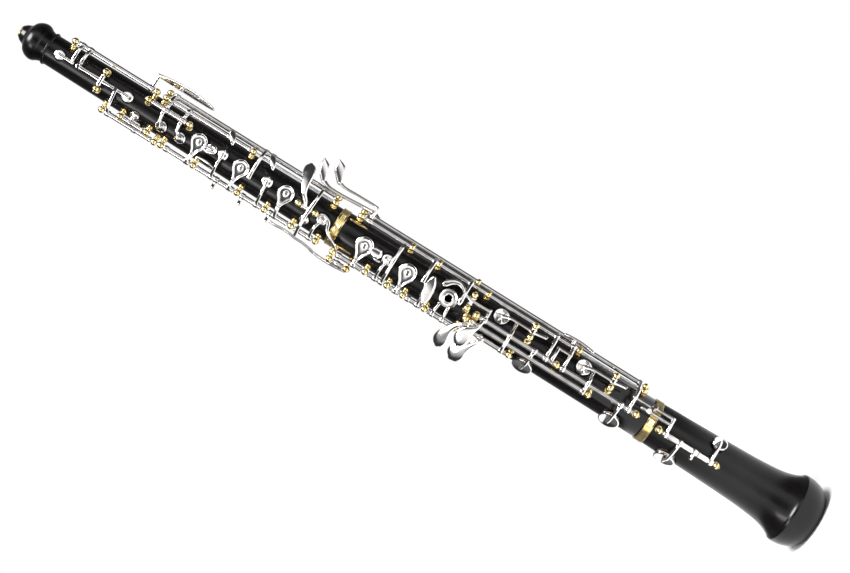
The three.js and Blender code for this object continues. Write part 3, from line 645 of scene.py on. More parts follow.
def cupOn(metal, soft, kind, hole, line=None):
    turn, up, radius, bore = toneHoles[hole]
    base = place(turn, seatOut(hole) + padGap, up)
    axis = place(turn, 1, 0)
    if kind == "plateau":
        towards = place(line[0], 1, 0) - axis
        dropOn(metal, base, axis, towards, radius, radius * 1.9, dropShape)
        turnOn(metal, base, axis, [(r * radius, h) for r, h in underCup], 40, closed=True)
        turnOn(soft, base, axis, [(0, 0), (radius * 0.84, 0), (radius * 0.92, 0.25), (radius * 0.9, 0.8),
                                  (0, 0.8)], 32)
        return
    shape = [(r * radius, h) for r, h in cupShapes[kind]]
    turnOn(metal, base, axis, shape, 40, closed=shape[0][0] > 0)
    inner = 0.42 * radius if kind == "ring" else 0  # the open ring's pad has a hole too
    turnOn(soft, base, axis, [(inner, 0), (radius * 0.84, 0), (radius * 0.92, 0.25), (radius * 0.9, 0.8),
                              (inner, 0.8)], 32, closed=inner > 0)


def tubeOn(bm, start, end, radius=1.7, bore=1.0):
    long = (end - start).length
    lip = min(0.9, long / 4)
    profile = [(bore, 0), (radius - 0.12, 0), (radius + 0.12, 0.15), (radius + 0.12, lip),
               (radius - 0.08, lip + 0.18), (radius - 0.08, long - lip - 0.18),
               (radius + 0.12, long - lip), (radius + 0.12, long - 0.15), (radius - 0.12, long),
               (bore, long)]
    turnOn(bm, start, end - start, profile, 28, closed=True)


def collarOn(bm, line, up, wide=3):  # the sleeve that an arm is brazed to
    turn, out = line[:2]
    turnOn(bm, place(turn, out, up - wide / 2), upright,
           [(1.2, 0), (1.95, 0), (2.1, 0.2), (2.1, wide - 0.2), (1.95, wide), (1.2, wide)], 28, closed=True)


# stops: (turn, out, up), and the width and thickness where they change
def armOn(bm, stops, wide=2.2, thick=1.5, steps=6, square=2.5):
    rows = [(place(*s[:3]), place(s[0], 1, 0), s[3] if len(s) > 3 else wide,
             s[4] if len(s) > 4 else thick) for s in stops]
    sweepOn(bm, rows, 14, steps, square)


def bladeOn(bm, stops, face=None, square=2.2):  # stops: (x, y, z, width, thickness)
    rows = [(Vector(s[:3]), face or Vector((s[0], s[1], 0)).normalized(), s[3], s[4]) for s in stops]
    sweepOn(bm, rows, 18, 6, square)


def cupArm(line, hole, up, kind):
    turn, cupUp, radius, bore = toneHoles[hole]
    lineTurn, lineOut = line[:2]
    top = cupTop(hole)
    gap = lineTurn - turn
    perMm = math.copysign(math.degrees(1 / top), gap)  # degrees of turn for a millimetre round the body
    if kind == "plateau":  # the point of the drop runs on into the arm
        flat = math.degrees(math.atan2(radius * 1.6, top - 0.9))
        far = math.degrees(math.atan2(radius * 1.95, top - 0.9))
        return [
            (turn + math.copysign(flat, gap), math.hypot(radius * 1.6, top - 0.9), cupUp, 3.4, 1.5),
            (turn + math.copysign(far, gap), math.hypot(radius * 1.95, top - 0.9), (cupUp * 2 + up) / 3,
             2.6, 1.5),
            (lineTurn - gap * 0.16, lineOut + 1.0, up, 2.2, 1.6),
            (lineTurn - gap * 0.04, lineOut + 0.6, up, 2.2, 1.6),
            (lineTurn + gap * 0.03, lineOut, up, 2.2, 1.6),
        ]
    return [
        (turn, top + 0.15, cupUp, 2.2, 1.3),
        (turn + perMm * radius * 0.8, top + 0.4, (cupUp * 2 + up) / 3, 1.9, 1.4),
        (turn + gap * 0.45, (top + lineOut) / 2 + 0.9, up, 1.9, 1.5),
        (lineTurn - gap * 0.12, lineOut + 0.3, up, 2.0, 1.5), (lineTurn, lineOut, up, 2.0, 1.5),
    ]


def makeKey(cadNode, key):
    metal, soft = bmesh.new(), bmesh.new()
    line = key["line"]
    low, high = key["tube"]
    if len(line) == 2:  # the hinge runs up the body
        at, axis = place(*line, 0), upright
        tubeOn(metal, place(*line, low), place(*line, high))
    else:  # the hinge runs across the body
        at, axis = place(*line), beside(line[0], 1, 0, 0)
        tubeOn(metal, beside(line[0], low, *line[1:]), beside(line[0], high, *line[1:]))
    for kind, hole, up in key.get("cups", []):
        cupOn(metal, soft, kind, hole, line)
        if up is not None:
            armOn(metal, cupArm(line, hole, up, kind))
            collarOn(metal, line, up)
    for up in key.get("collars", []):
        collarOn(metal, line, up)
    for arm in key.get("arms", []):
        armOn(metal, arm)
    for blade in key.get("blades", []):
        bladeOn(metal, **blade) if isinstance(blade, dict) else bladeOn(metal, blade)
    for x, y, z, radius, tall in key.get("bosses", []):
        out = Vector((x, y, 0)).normalized()
        turnOn(metal, Vector((x, y, z)), out,
               [(0, 0), (radius, 0), (radius, tall - 0.2), (radius - 0.25, tall), (0, tall)], 22)
    if key.get("extra"):
        key["extra"](metal, soft)
    swing = Matrix.Rotation(math.radians(key.get("open", 0)), 4, axis)
    turned = Matrix.Translation(at) @ swing @ Matrix.Translation(-at)
    for bm in (metal, soft):
        bmesh.ops.transform(bm, matrix=turned, verts=bm.verts)
    name = pieceName(cadNode)
    piece = addPiece(metal, name, silver, cadNode)
    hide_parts(cadNode)
    if soft.verts:
        addPiece(soft, name + "Pad", pad, cadNode)
    else:
        soft.free()


def leafStops(start, end, width, thick, belly=0.0, shape=(0.35, 0.72, 0.95, 1, 0.9, 0.62, 0.2)):
    # a leaf from start to end, bowed outwards by belly in its middle
    out = []
    for i, share in enumerate(shape):
        t = i / (len(shape) - 1)
        p = Vector(start).lerp(Vector(end), t)
        p += Vector((p.x, p.y, 0)).normalized() * belly * math.sin(math.pi * t)
        out.append((*p, width * share, thick * (0.75 + 0.25 * math.sin(math.pi * t))))
    return out


def spoonStops(start, end, width, thick):  # narrow where it leaves the lever, full and round at its tip
    return leafStops(start, end, width, thick, 0.5, (0.42, 0.66, 0.86, 0.98, 1, 0.9, 0.62, 0.2))


# octave keys
sideOctaveKey = {
    "line": (50, 16.6), "tube": (502.1, 557.7), "collars": [554.5, 548.6, 503.6],
    "cups": [("vent", "sideOctave", None)],
    "arms": [
        [(50, 16.6, 554.5), (36, 17.6, 554.5), (14, 15.6, 554.5), (0, 14.4, 554.5)],
        [(0, 14.4, 553.4), (0, 14.3, 558), (0, 14.1, 562), (0, 14.1, 564.6)],
        [(50, 16.6, 548.6), (38, 17.9, 548.6), (22, 17.4, 548.6), (9, 16.6, 548.6)],
        [(50, 16.6, 503.3), (56, 19, 503.3), (61, 22, 503.3), (64, 24.4, 503)],
    ],
    "blades": [{"stops": [(*place(64.5, 24.4, 504), 2.6, 2.2), (*place(65, 24.8, 500), 3.6, 1.6),
                          (*place(65, 25.2, 492), 5.6, 1.3), (*place(65, 25.4, 482), 6.6, 1.2),
                          (*place(65, 25.1, 472), 5.6, 1.2), (*place(65, 24.4, 464), 2.8, 1.2),
                          (*place(65, 24.2, 462.6), 0.8, 0.9)], "face": Vector((0.75, 0.66, 0))}],
    "bosses": [(*place(9.5, 15.2, 548.6), 1.2, 2.2)],
}
makeKey("side_octave_key", sideOctaveKey)

octaveRocker = {
    "line": (0, 15.6, 532.4), "tube": (-3.4, 3.4), "cups": [("vent", "firstOctave", None)],
    "arms": [
        [(0, 15.4, 550.4, 3.2), (0, 15.6, 547.5, 2.6), (0, 15.6, 540), (0, 15.8, 532.4, 3), (0, 15.4, 526),
         (0, 14.5, 521.6, 2.8), (0, 13.8, 517), (0, 13.9, 512.8)],
    ],
    "bosses": [(*place(0, 14.2, 521.8), 1.6, 1.4), (*place(0, 15.6, 549), 1.1, 1.4)],
}
makeKey("octave_rocker", octaveRocker)

thumbOctaveKey = {
    "line": (-70, 16.6), "tube": (487.8, 522), "collars": [520, 500],
    "arms": [
        [(-70, 16.6, 520), (-56, 17, 520.3), (-40, 15.2, 520.9), (-22, 13.2, 521.5), (0, 12.4, 522)],
        [(-70, 16.6, 500, 3.4), (-92, 16.4, 500, 3.6), (-120, 16, 500, 3.6), (-150, 15.4, 500, 4.4),
         (-174, 15, 500, 6)],
    ],
    "blades": [leafStops(place(180, 14.6, 510), place(180, 14.6, 490), 12, 2.2, 0.6,
                         (0.45, 0.82, 1, 1, 1, 0.82, 0.4))],
}
makeKey("thumb_octave_key", thumbOctaveKey)

thirdOctaveKey = {
    "line": (-54, 16), "tube": (494.6, 509), "collars": [503.8],
    "cups": [("vent", "thirdOctave", None)],
    "arms": [[(-54, 16, 503.8), (-50, 15.6, 503.8), (-46, 14.4, 503.8),
              (-43, cupTop("thirdOctave") + 0.2, 503.8, 2.4)]],
}
makeKey("third_octave_key", thirdOctaveKey)
print("octave keys made")

# trill keys
trillLine = (20.5, 16.2)


def trillVent(hole, tailUp, low, high):
    cupTurn, cupUp = toneHoles[hole][:2]
    top = cupTop(hole)
    return {
        "line": trillLine, "tube": (low, high), "collars": [tailUp], "cups": [("vent", hole, None)],
        "arms": [
            [(20.5, 16.2, tailUp, 2.2), (10, 17.4, tailUp + 0.3), (-8, 15.4, tailUp),
             (-20, 14.4, tailUp - 0.8), (-24, 14.2, (tailUp + cupUp) / 2), (-23, top + 0.4, cupUp + 1),
             (-23, top + 0.2, cupUp, 2.4)],
            [(20.5, 16.2, tailUp), (30, 17.2, tailUp), (40, 17.5, tailUp, 2.6)],
        ],
    }


def trillTouch(up):  # a slim tongue that leans towards the bell as it comes round to the front
    return [
        (*place(58, 20.4, up + 2.4), 2.0, 1.7), (*place(53, 21.4, up + 1.7), 3.0, 1.8),
        (*place(46, 21.9, up + 0.4), 3.8, 1.9), (*place(38, 21.6, up - 1.3), 3.8, 1.8),
        (*place(31, 20.9, up - 2.9), 2.9, 1.6), (*place(27.5, 20.3, up - 3.7), 1.4, 1.2),
    ]


makeKey("upper_trill_vent", trillVent("upperTrill", 487.6, 485.4, 497.8))
makeKey("lower_trill_vent", trillVent("lowerTrill", 475, 472.6, 485.1))
upperTrillLever = {
    "line": (70, 17.6), "tube": (368.6, 489.7), "collars": [487.6, 415.4, 420.7],
    "arms": [
        [(70, 17.6, 487.6), (64, 19.9, 487.6), (52, 20.5, 487.6), (38, 20, 487.6, 2.8)],
        [(70, 17.6, 415.8), (64, 19.8, 415.8), (55, 20.4, 415.6)],
        [(70, 17.6, 420.7), (63, 19.9, 420.7), (44, 19.5, 420.7), (22, 17.2, 420.7), (4, 15.4, 420.7),
         (-12, 15.2, 420.7, 2.8)],
    ],
    "blades": [trillTouch(413.7)],
}
makeKey("upper_trill_lever", upperTrillLever)
lowerTrillLever = {
    "line": (50, 16.6), "tube": (429.9, 489.7), "collars": [475, 445],
    "arms": [
        [(50, 16.6, 475), (47, 19.4, 475), (42, 20, 475), (37, 19.9, 475, 2.8)],
        [(50, 16.6, 445.4), (52, 19, 445.4), (54, 20.3, 445.4)],
    ],
    "blades": [trillTouch(443.6)],
}
makeKey("lower_trill_lever", lowerTrillLever)
print("trill keys made")

# left-hand stack: the keys stand open by this turn
leftLine = (-62, 17)
standOpen = -7


def halfHolePlate(metal, soft):
    turnOn(metal, place(3, 12.1, 449.9), place(3, 1, 0),
           [(0, 0), (3.1, 0), (3.35, 0.25), (3.35, 1.7), (3.1, 2.0), (2.7, 1.75), (1.9, 1.2), (0.9, 0.95),
            (0, 0.9)], 36)
    armOn(metal, [(-6, 13.2, 455.4), (-9, 13.5, 452.6), (-7, 13.7, 449.6, 1.8), (-2, 13.8, 447.6, 1.5)],
          1.8, 1.3)


def adjuster(up):  # the small arm with its levelling screw behind the hinge
    return [[(-62, 17, up), (-68, 19.4, up), (-74, 21, up, 2.8, 2.2)]], [(*place(-74, 20.6, up), 0.95, 1.9)]


bKey = {
    "line": leftLine, "tube": (458.6, 477.6), "open": standOpen, "cups": [("plateau", "bKey", 460.8)],
    "arms": [[(3, 13.6, 455), (3, 13.4, 452.8), (3, 13.2, 450)]], "collars": [476], "extra": halfHolePlate,
}
makeKey("b_key", bKey)
for cadNode, kind, hole, armUp, low, high, adjustUp in (
    ("c_vent_key", "vent", "cVent", 442.3, 436.6, 453.4, 438.4),
    ("a_key", "plateau", "aKey", 428.8, 425.5, 436.2, None),
    ("b_flat_vent_key", "vent", "bFlatVent", 408.6, 405.1, 420.3, 418.6),
    ("g_key", "plateau", "gKey", 394.8, 385.3, 399.9, 398.2),
):
    stackKey = {"line": leftLine, "tube": (low, high), "open": standOpen, "cups": [(kind, hole, armUp)]}
    if adjustUp:
        stackKey["arms"], stackKey["bosses"] = adjuster(adjustUp)
        stackKey["collars"] = [adjustUp]
    if cadNode == "c_vent_key":  # the leaf that lies between the C and B cups
        stackKey["blades"] = [leafStops(place(-36, 15.8, 442.6), place(-32, 15.6, 455.6), 4.0, 1.4, 0.3,
                                        (0.5, 0.7, 0.95, 1, 0.9, 0.66, 0.25))]
    makeKey(cadNode, stackKey)
bridgeKey = {
    "line": leftLine, "tube": (366.9, 380.1), "open": standOpen, "cups": [("small", "bridge", 369)],
    "arms": [[(8, 14.6, 364.4), (0, 15, 362.4), (-16, 15.8, 360.8), (-28, 16.4, 357), (-36, 16.8, 353),
              (-44, 17, 350.8, 2.6)]],
}
makeKey("bridge_key", bridgeKey)
print("left-hand stack made")

# G sharp key with its broad curved touch
gSharpKey = {
    "line": (0, 17.4), "tube": (375.4, 382.8), "cups": [("vent", "gSharp", None)], "collars": [377.2],
    "arms": [
        [(46, 20.6, 376.4), (26, 20.4, 376.4), (8, 19, 376.8), (-10, 19, 377.2), (-34, 20.6, 377.2),
         (-58, 21.6, 377.2)],
        [(-32, 20, 377.2), (-32, 17, 377.2), (-32, 14.8, 377.2, 2.6)],
    ],
    "blades": [{"stops": [
        (0.6, -18.2, 380.4, 2.4, 2.2), (3.4, -19.0, 382.0, 2.8, 2.4), (6.4, -19.2, 384.8, 3.2, 2.5),
        (10, -18.2, 386.9, 4.4, 2.6), (14.1, -16.4, 388.4, 6.0, 2.8), (18, -14.4, 389.6, 7.4, 2.8),
        (21.5, -12.6, 390.7, 7.8, 2.6), (24, -11.2, 391.5, 6.2, 2.2),
        (25.4, -10.4, 392, 2.6, 1.4)], "face": Vector((0.35, -0.93, 0.1)), "square": 2}],
}
makeKey("g_sharp_key", gSharpKey)

# levers of the left little finger
innerLever = (60, 16.4)
outerLever = (78, 17.8)
lowBFlatLever = {
    "line": outerLever, "tube": (138.6, 344.9), "collars": [140.2, 341],
    "arms": [
        [(78, 17.8, 140.2), (70, 19.4, 140.2), (50, 19, 140.2), (27, 17.8, 140.2)],
        [(27, 17.8, 140.8), (27, 17.7, 136), (27, 17.6, 130), (27, 17.6, 124.6)],
    ],
    "blades": [
        [(17.6, -3.8, 341, 2.6, 2.2), (19.8, -4.8, 343.6, 2.6, 2.2), (19.6, -7.4, 351, 2.4, 2.2),
         (18.6, -10.6, 364, 2.4, 2.2), (18.6, -12.2, 374, 2.8, 2.2), (20.4, -12.6, 379, 3.6, 2.2)],
        {"stops": spoonStops((19.8, -12.9, 379.4), (32.6, -11.2, 386.3), 6.6, 2.7),
         "face": Vector((0.3, -0.93, 0.1)), "square": 2},
    ],
}
makeKey("low_b_flat_lever", lowBFlatLever)
lowBLever = {
    "line": innerLever, "tube": (187.2, 344.9), "collars": [201.4, 188.8, 265.7, 292.4, 341.6],
    "arms": [
        [(60, 16.4, 201.4), (48, 17.6, 201.4), (32, 16.8, 201.4)],
        [(60, 16.4, 188.9), (48, 17.6, 188.9), (32, 16.8, 188.9)],
        [(60, 16.4, 292.4), (53, 19.6, 292.4), (38, 20.8, 292.4), (14, 20.8, 292.4),
         (-2, 20.4, 292.4, 2.8)],
        [(60, 16.4, 190.4), (66, 18.6, 190.4), (70, 20.4, 190)],
        [(60, 16.4, 265.7), (54, 20, 265.7), (44, 21.4, 265.7), (22, 21.6, 265.7), (4, 21.4, 265.7, 2.8),
         (-2, 21, 265.7, 2.4)],
    ],
    "blades": [
        [(18.8, -7.2, 197.4, 2.6, 1.6), (19.2, -7.0, 194, 2.0, 1.6), (19.4, -7.0, 188, 2.2, 1.8),
         (19.0, -7.4, 181, 2.0, 1.6), (18.2, -8.2, 176.8, 2.6, 1.6)],
        [(14.2, -8.2, 341.6, 2.4, 2.2), (18.4, -8, 341.6, 2.4, 2.2), (23.0, -6.6, 341.4, 2.6, 2.2),
         (24.2, -6, 344.4, 3, 1.6), (24.2, -6, 356, 3.8, 1.4), (24.0, -6, 366, 3.6, 1.6),
         (25.2, -6.4, 370.6, 3.4, 2.2)],
        {"stops": spoonStops((24.4, -6.8, 370.4), (37.0, -5.6, 378.2), 7.2, 2.7),
         "face": Vector((0.3, -0.93, 0.1)), "square": 2},
    ],
}
makeKey("low_b_lever", lowBLever)
print("little-finger levers made")

# right-hand stack
rightLine = (-56, 18)


def ductPlate(metal, soft):
    armOn(metal, [(-1, 14.3, 331.6, 2.6, 1.6), (-1, 14.6, 330.4, 4.2, 2.2), (-1, 14.8, 328.8, 6.6, 2.6),
                  (-1, 14.9, 326.2, 7.2, 2.9), (-1, 14.8, 324.6, 6.6, 2.6),
                  (-1, 14.6, 323.8, 4.2, 2)], steps=5, square=2.2)
    armOn(metal, [(-11, 14.6, 326.6, 1.6), (-15, 15, 326, 1.6), (-17, 15, 324, 1.4),
                  (-15, 14.8, 322.6, 1.2)], 1.6, 1.3)


fSharpKey = {"line": rightLine, "tube": (329.8, 348.7), "open": standOpen, "extra": ductPlate,
             "collars": [346.6],
             "cups": [("plateau", "fSharp", 335.8), ("vent", "fSharpDuct", None)]}
makeKey("f_sharp_key", fSharpKey)
fSharpVentKey = {"line": rightLine, "tube": (313.3, 324.6), "open": standOpen,
                 "cups": [("vent", "fSharpVent", 319.6)],
                 "collars": [314.8],
                 "arms": [[(-56, 18, 314.8), (-44, 18.9, 314.8), (-20, 18.3, 314.8), (10, 18.2, 314.8),
                           (40, 18, 314.8, 2.6)]]}
makeKey("f_sharp_vent_key", fSharpVentKey)
makeKey("e_key", {"line": rightLine, "tube": (301.5, 308.1), "open": standOpen,
                  "cups": [("plateau", "eKey", 304.4)]})
fVentKey = {
    "line": rightLine, "tube": (285.3, 296.3), "open": standOpen, "cups": [("vent", "fVent", 288)],
    "collars": [295],
    "blades": [leafStops(beside(-4, -10.2, 16.2, 285.8), beside(-4, 7.3, 16.6, 287.6), 7.4, 2.2, 0.5,
                         (0.5, 0.8, 0.95, 1, 0.98, 0.9, 0.7, 0.35))],
}
makeKey("f_vent_key", fVentKey)


def openRingArms(metal, soft):
    top = cupTop("dKey")
    for up, cupUp in ((276.8, 275.8), (269.6, 270.6)):
        armOn(metal, [(-21, top - 0.5, cupUp, 2), (-28, top + 0.2, (up + cupUp) / 2, 2),
                      (-42, 17.6, up, 1.8), (-56, 18, up, 1.8)])
        collarOn(metal, rightLine, up, 2.4)


dKey = {"line": rightLine, "tube": (262.1, 280.1), "open": standOpen, "cups": [("ring", "dKey", None)],
        "extra": openRingArms}
makeKey("d_key", dKey)
sideTrillTouch = {
    "line": (-75, 20.5), "tube": (341, 348.7), "collars": [345.2],
    "arms": [[(-75, 20.5, 345.4), (-81, 21.4, 345.6), (-87, 21.8, 346)]],
    "blades": [
        leafStops(place(-88, 21.8, 338.6), place(-88, 21.8, 364.6), 5.0, 2.0, 0.8,
                  (0.3, 0.8, 1, 0.95, 0.8, 0.6, 0.4)),
        [(*place(-87, 21.9, 362), 2.2, 1.6), (*place(-83, 21, 367), 2.0, 1.6),
         (*place(-79, 20.6, 372), 2.2, 1.6), (*place(-77, 20.7, 377), 2.2, 1.6),
         (*place(-75, 20.1, 382), 2.0, 1.6), (*place(-75, 20.1, 387), 2.0, 1.6),
         (*place(-74, 20.6, 391.4), 2.0, 1.6), (*place(-74, 20.4, 396), 2.0, 1.6)],
    ],
}
makeKey("side_trill_touch", sideTrillTouch)
print("right-hand stack made")

# banana key and the right little finger
bananaKey = {
    "line": (14, 18.4, 260), "tube": (-2.3, 2.3),
    "blades": [{"stops": [
        (4.6, -15.9, 280.4, 2.6, 1.6), (6.2, -15.9, 279.2, 4.0, 2.1), (8.7, -15.7, 276.9, 3.9, 2.2),
        (10.2, -15.6, 274, 3.6, 2.1), (10.4, -15.8, 271, 3.3, 2.0), (9.1, -16.6, 268.2, 2.8, 2),
        (7, -17.5, 265.4, 2.4, 1.9), (5.6, -18.4, 261, 2.3, 2), (5.4, -18.8, 254, 2.0, 1.8),
        (5.6, -18.6, 246.6, 2.0, 1.7)], "face": Vector((0.2, -1, 0))}],
}
makeKey("banana_key", bananaKey)

frontLine = (-3, 18.8)
lowOpen = 6  # the large side cups stand open by this turn


def wideArm(line, hole, up):  # from the hinge round the side to the middle of a large cup
    turn, cupUp, radius, bore = toneHoles[hole]
    top = cupTop(hole)
    return [(line[0], line[1], up), (line[0] - 10, line[1] + 0.4, up), (turn + 26, top + 2.4, up),
            (turn + 8, top + 0.8, cupUp, 2.6), (turn - 6, top + 0.4, cupUp, 2.2)]


lowCKey = {
    "line": frontLine, "tube": (195.7, 249.8), "open": lowOpen, "cups": [("disc", "lowC", None)],
    "collars": [209.6, 201.4, 246.6],
    "arms": [wideArm(frontLine, "lowC", 209.8),
             [(-3, 18.8, 201.4), (12, 20.2, 201.4), (36, 21.2, 201.4)],
             [(-3, 18.8, 246.4), (10, 18, 246.4), (24, 17, 246.4)]],
    "blades": [{"stops": [
        (-1.2, -19.4, 247.4, 2.4, 2.2), (-4.6, -21.8, 247.4, 2.6, 2.2), (-7.6, -22.2, 248.2, 2.8, 2.2),
        (-10.2, -21.2, 250, 4.6, 2.4), (-13, -19.8, 251.8, 8.4, 2.7), (-16.4, -18.2, 252.8, 10.4, 3),
        (-19.6, -16.6, 253.2, 9.6, 2.8), (-22, -15.4, 253.4, 6, 2.2),
        (-23, -15, 253.4, 2.4, 1.4)], "face": Vector((-0.42, -0.9, 0.1)), "square": 2}],
}
makeKey("low_c_key", lowCKey)
cSharpKey = {
    "line": (-20, 18.6), "tube": (169.2, 254.4), "collars": [170.5, 253],
    "arms": [[(-20, 18.6, 170.3), (-14, 21.8, 170.3), (4, 22, 170.3), (12, 18, 170.3), (20, 15.8, 170.3),
              (31, 15.6, 170.3)]],
    "blades": [{"stops": [
        (-6.4, -17.8, 252.4, 2.4, 2.2), (-8.4, -19.4, 255, 2.6, 2.2), (-11.4, -18.2, 258.4, 3, 2.3),
        (-15, -15.8, 261.2, 4, 2.5), (-18.8, -13.6, 262.8, 6.4, 2.8), (-22.8, -11.4, 263.6, 9.2, 3),
        (-26.4, -9.6, 263.8, 9.8, 2.9), (-29.2, -8.4, 263.9, 6.8, 2.2),
        (-30.6, -7.8, 263.9, 2.6, 1.4)], "face": Vector((-0.42, -0.9, 0.1)), "square": 2}],
}
makeKey("c_sharp_key", cSharpKey)
eFlatKey = {
    "line": (-38, 18.6), "tube": (224.6, 249.8), "collars": [227.8, 243.4],
    "arms": [[(-38, 18.6, 227.8), (-28, 22, 227.8), (-4, 22.4, 227.8), (8, 20, 227.8), (15, 16.4, 227.8),
              (31, 15.5, 227.8)]],
    "blades": [{"stops": [
        (-11.6, -14.8, 240.6, 2.4, 2.2), (-12.4, -16.4, 241.4, 2.6, 2.3), (-15.4, -15.6, 243.2, 3, 2.4),
        (-19, -13.6, 245.6, 4.6, 2.6), (-22.4, -11.8, 247.8, 8.2, 2.9),
        (-25.6, -10.2, 249.6, 11.4, 3.1), (-28.8, -8.6, 251, 11.8, 3), (-31.6, -7.3, 252, 8.4, 2.4),
        (-33, -6.6, 252.6, 3, 1.4)], "face": Vector((-0.42, -0.9, 0.1)), "square": 2}],
}
makeKey("e_flat_key", eFlatKey)


def rockingKey(hole, pivotUp, tailUp):
    turn, cupUp, radius, bore = toneHoles[hole]
    top = cupTop(hole)
    spokes = []
    for angle in (90, 210, 330):  # three spokes on the cup's top
        a = math.radians(angle)
        side, rise = radius * 0.86 * math.cos(a), radius * 0.86 * math.sin(a)
        spokes.append([(*beside(turn, 0, top - 0.3, cupUp), 1.7, 1.2),
                       (*beside(turn, side * 0.55, top - 0.4, cupUp + rise * 0.55), 1.4, 1.1),
                       (*beside(turn, side, top - 0.3, cupUp + rise), 1.1, 0.9)])
    return {
        "line": (turn, 18.6, pivotUp), "tube": (-2.1, 2.1), "cups": [("dish", hole, None)],
        "arms": [[(turn, top + 0.3, cupUp, 2.4), (turn, top + 2.4, cupUp - 4), (turn, 18.3, cupUp - 7),
                  (turn, 18.5, pivotUp + 4), (turn, 18.8, pivotUp, 3.2), (turn + 1, 18.7, pivotUp - 4),
                  (turn + 4, 18.5, tailUp + 0.6, 2.6)]],
        "blades": spokes, "bosses": [(*place(turn + 4, 18.2, tailUp + 0.8), 1.0, 1.6)],
    }


makeKey("e_flat_rocker", rockingKey("eFlat", 216.5, 206.8))
makeKey("c_sharp_rocker", rockingKey("cSharp", 156.7, 147.4))

lowBKey = {
    "line": frontLine, "tube": (136.6, 190.5), "open": lowOpen, "cups": [("disc", "lowB", None)],
    "collars": [145.6, 140.2, 188.8],
    "arms": [wideArm(frontLine, "lowB", 145.6),
             [(-3, 18.8, 140.2), (6, 21.4, 140.2), (20, 22.4, 140.2), (36, 23, 140.2)],
             [(-3, 18.8, 188.8), (12, 20.2, 188.8), (36, 21.2, 188.8)],
             [(26, 20.6, 188.2), (26, 20.6, 193), (26, 20.6, 197.8)],
             [(26, 20.6, 197.6), (18, 22, 197.6), (8, 22.4, 197.6), (0, 22.4, 197.6)]],
}
makeKey("low_b_key", lowBKey)
print("right little finger made")

# bell keys
bellKeyLine = (-5, 20.4)
bellKey = {
    "line": bellKeyLine, "tube": (88.4, 114), "open": lowOpen, "cups": [("disc", "bellKey", None)],
    "collars": [101.6, 112.2, 91],
    "arms": [wideArm(bellKeyLine, "bellKey", 101.6),
             [(-5, 20.4, 112.2), (6, 21.6, 112.2), (25, 21.4, 112.2)],
             [(25, 21.4, 111.6), (25, 21.4, 119), (25, 21.4, 126.6)],
             [(13, 21.6, 111.8), (13, 21.5, 122), (13, 21.2, 133.6)],
             [(-5, 20.4, 91), (-12, 21.8, 91), (-18, 21, 91, 2.8)]],
}
bellKey["bosses"] = [(*place(25, 21.2, 126.4), 1.8, 1.9), (*place(13, 21.2, 128.8), 1.8, 1.7)]
makeKey("bell_key", bellKey)
bellVentKey = {
    "line": bellKeyLine, "tube": (77.2, 88.1), "open": -lowOpen, "cups": [("disc", "bellVent", None)],
    "collars": [79.2],
    "arms": [[(-5, 20.4, 79.2), (8, 21.2, 79.2), (28, 19.8, 79),
              (42, cupTop("bellVent") + 0.5, 78.7, 2.4)]],
}
makeKey("bell_vent_key", bellVentKey)

# back
thumbLever = {
    "line": (180, 17.2, 391.4), "tube": (-3.6, 3.6),
    "arms": [[(180, 18.6, 361.4, 2.6), (180, 18.2, 370, 2.4), (180, 17.8, 380, 2.4),
              (180, 17.5, 391.4, 3.4), (180, 17.2, 399, 3), (180, 17.2, 406, 3.2)]],
    "blades": [leafStops(place(180, 17, 404), place(180, 17, 432.8), 8.4, 2.6, 0.7,
                         (0.38, 0.5, 0.72, 0.95, 1, 0.78, 0.2))],
}
makeKey("thumb_lever", thumbLever)
backLinkLever = {
    "line": (142, 17), "tube": (339.3, 348.7), "collars": [346.6, 343],
    "arms": [
        [(142, 17, 346.6), (152, 18.2, 346.6), (166, 17.4, 346.6), (179, 15.4, 346.8)],
        [(179, 15.4, 346), (179, 15.3, 353), (179, 15.3, 360), (179, 15.4, 365.6)],
        [(142, 17, 343), (130, 19.2, 343), (118, 21.5, 343)],
    ],
    "blades": [leafStops(place(114, 21.8, 338.2), place(114, 21.8, 347.8), 6, 1.9, 0.4)],
}
makeKey("back_link_lever", backLinkLever)
print("bell and back keys made")

# gold wear bars let into the lower joint's front
for name, turn, low, high in (("wearBarLeft", 44, 340.4, 352.6), ("wearBarRight", -52, 341, 351)):
    bm = bmesh.new()
    out = woodRadius(346) + 0.25
    sweepOn(bm, [(place(turn, out, up), place(turn, 1, 0), width, 0.9) for up, width in (
        (low, 0.7), (low + 2, 1.5), ((low + high) / 2, 2.1), (high - 2, 1.5), (high, 0.7))], 14, 4, 3)
    addPiece(bm, name, gold, "oboe_body")


# floor, light and camera

studio = {
    "floor": (0.93, 0.93, 0.93), "reach": 0.6, "backdrop": (1, 1, 1), "mirrorStrength": 1.35,
    # what polished parts mirror, going round the object: (degrees from the front towards +X, brightness)
    "bands": [(-180, 0.38), (-152, 0.36), (-144, 0.14), (-112, 0.1), (-102, 0.03), (-62, 0.03),
              (-44, 0.7), (-26, 1.0), (-12, 0.1), (6, 0.05), (20, 0.7), (36, 1.0), (54, 0.04),
              (100, 0.03), (112, 0.14), (144, 0.14), (152, 0.36), (180, 0.38)],
    # name, place, what it points at, width, height and watts
    "lights": [("topLight", (-0.12, -1.2, 2.9), (0, 0, 0.25), 1.3, 1.3, 150),
               ("sideLight", (-0.9, -0.9, 0.9), (0, 0, 0.3), 0.3, 0.9, 6)],
}


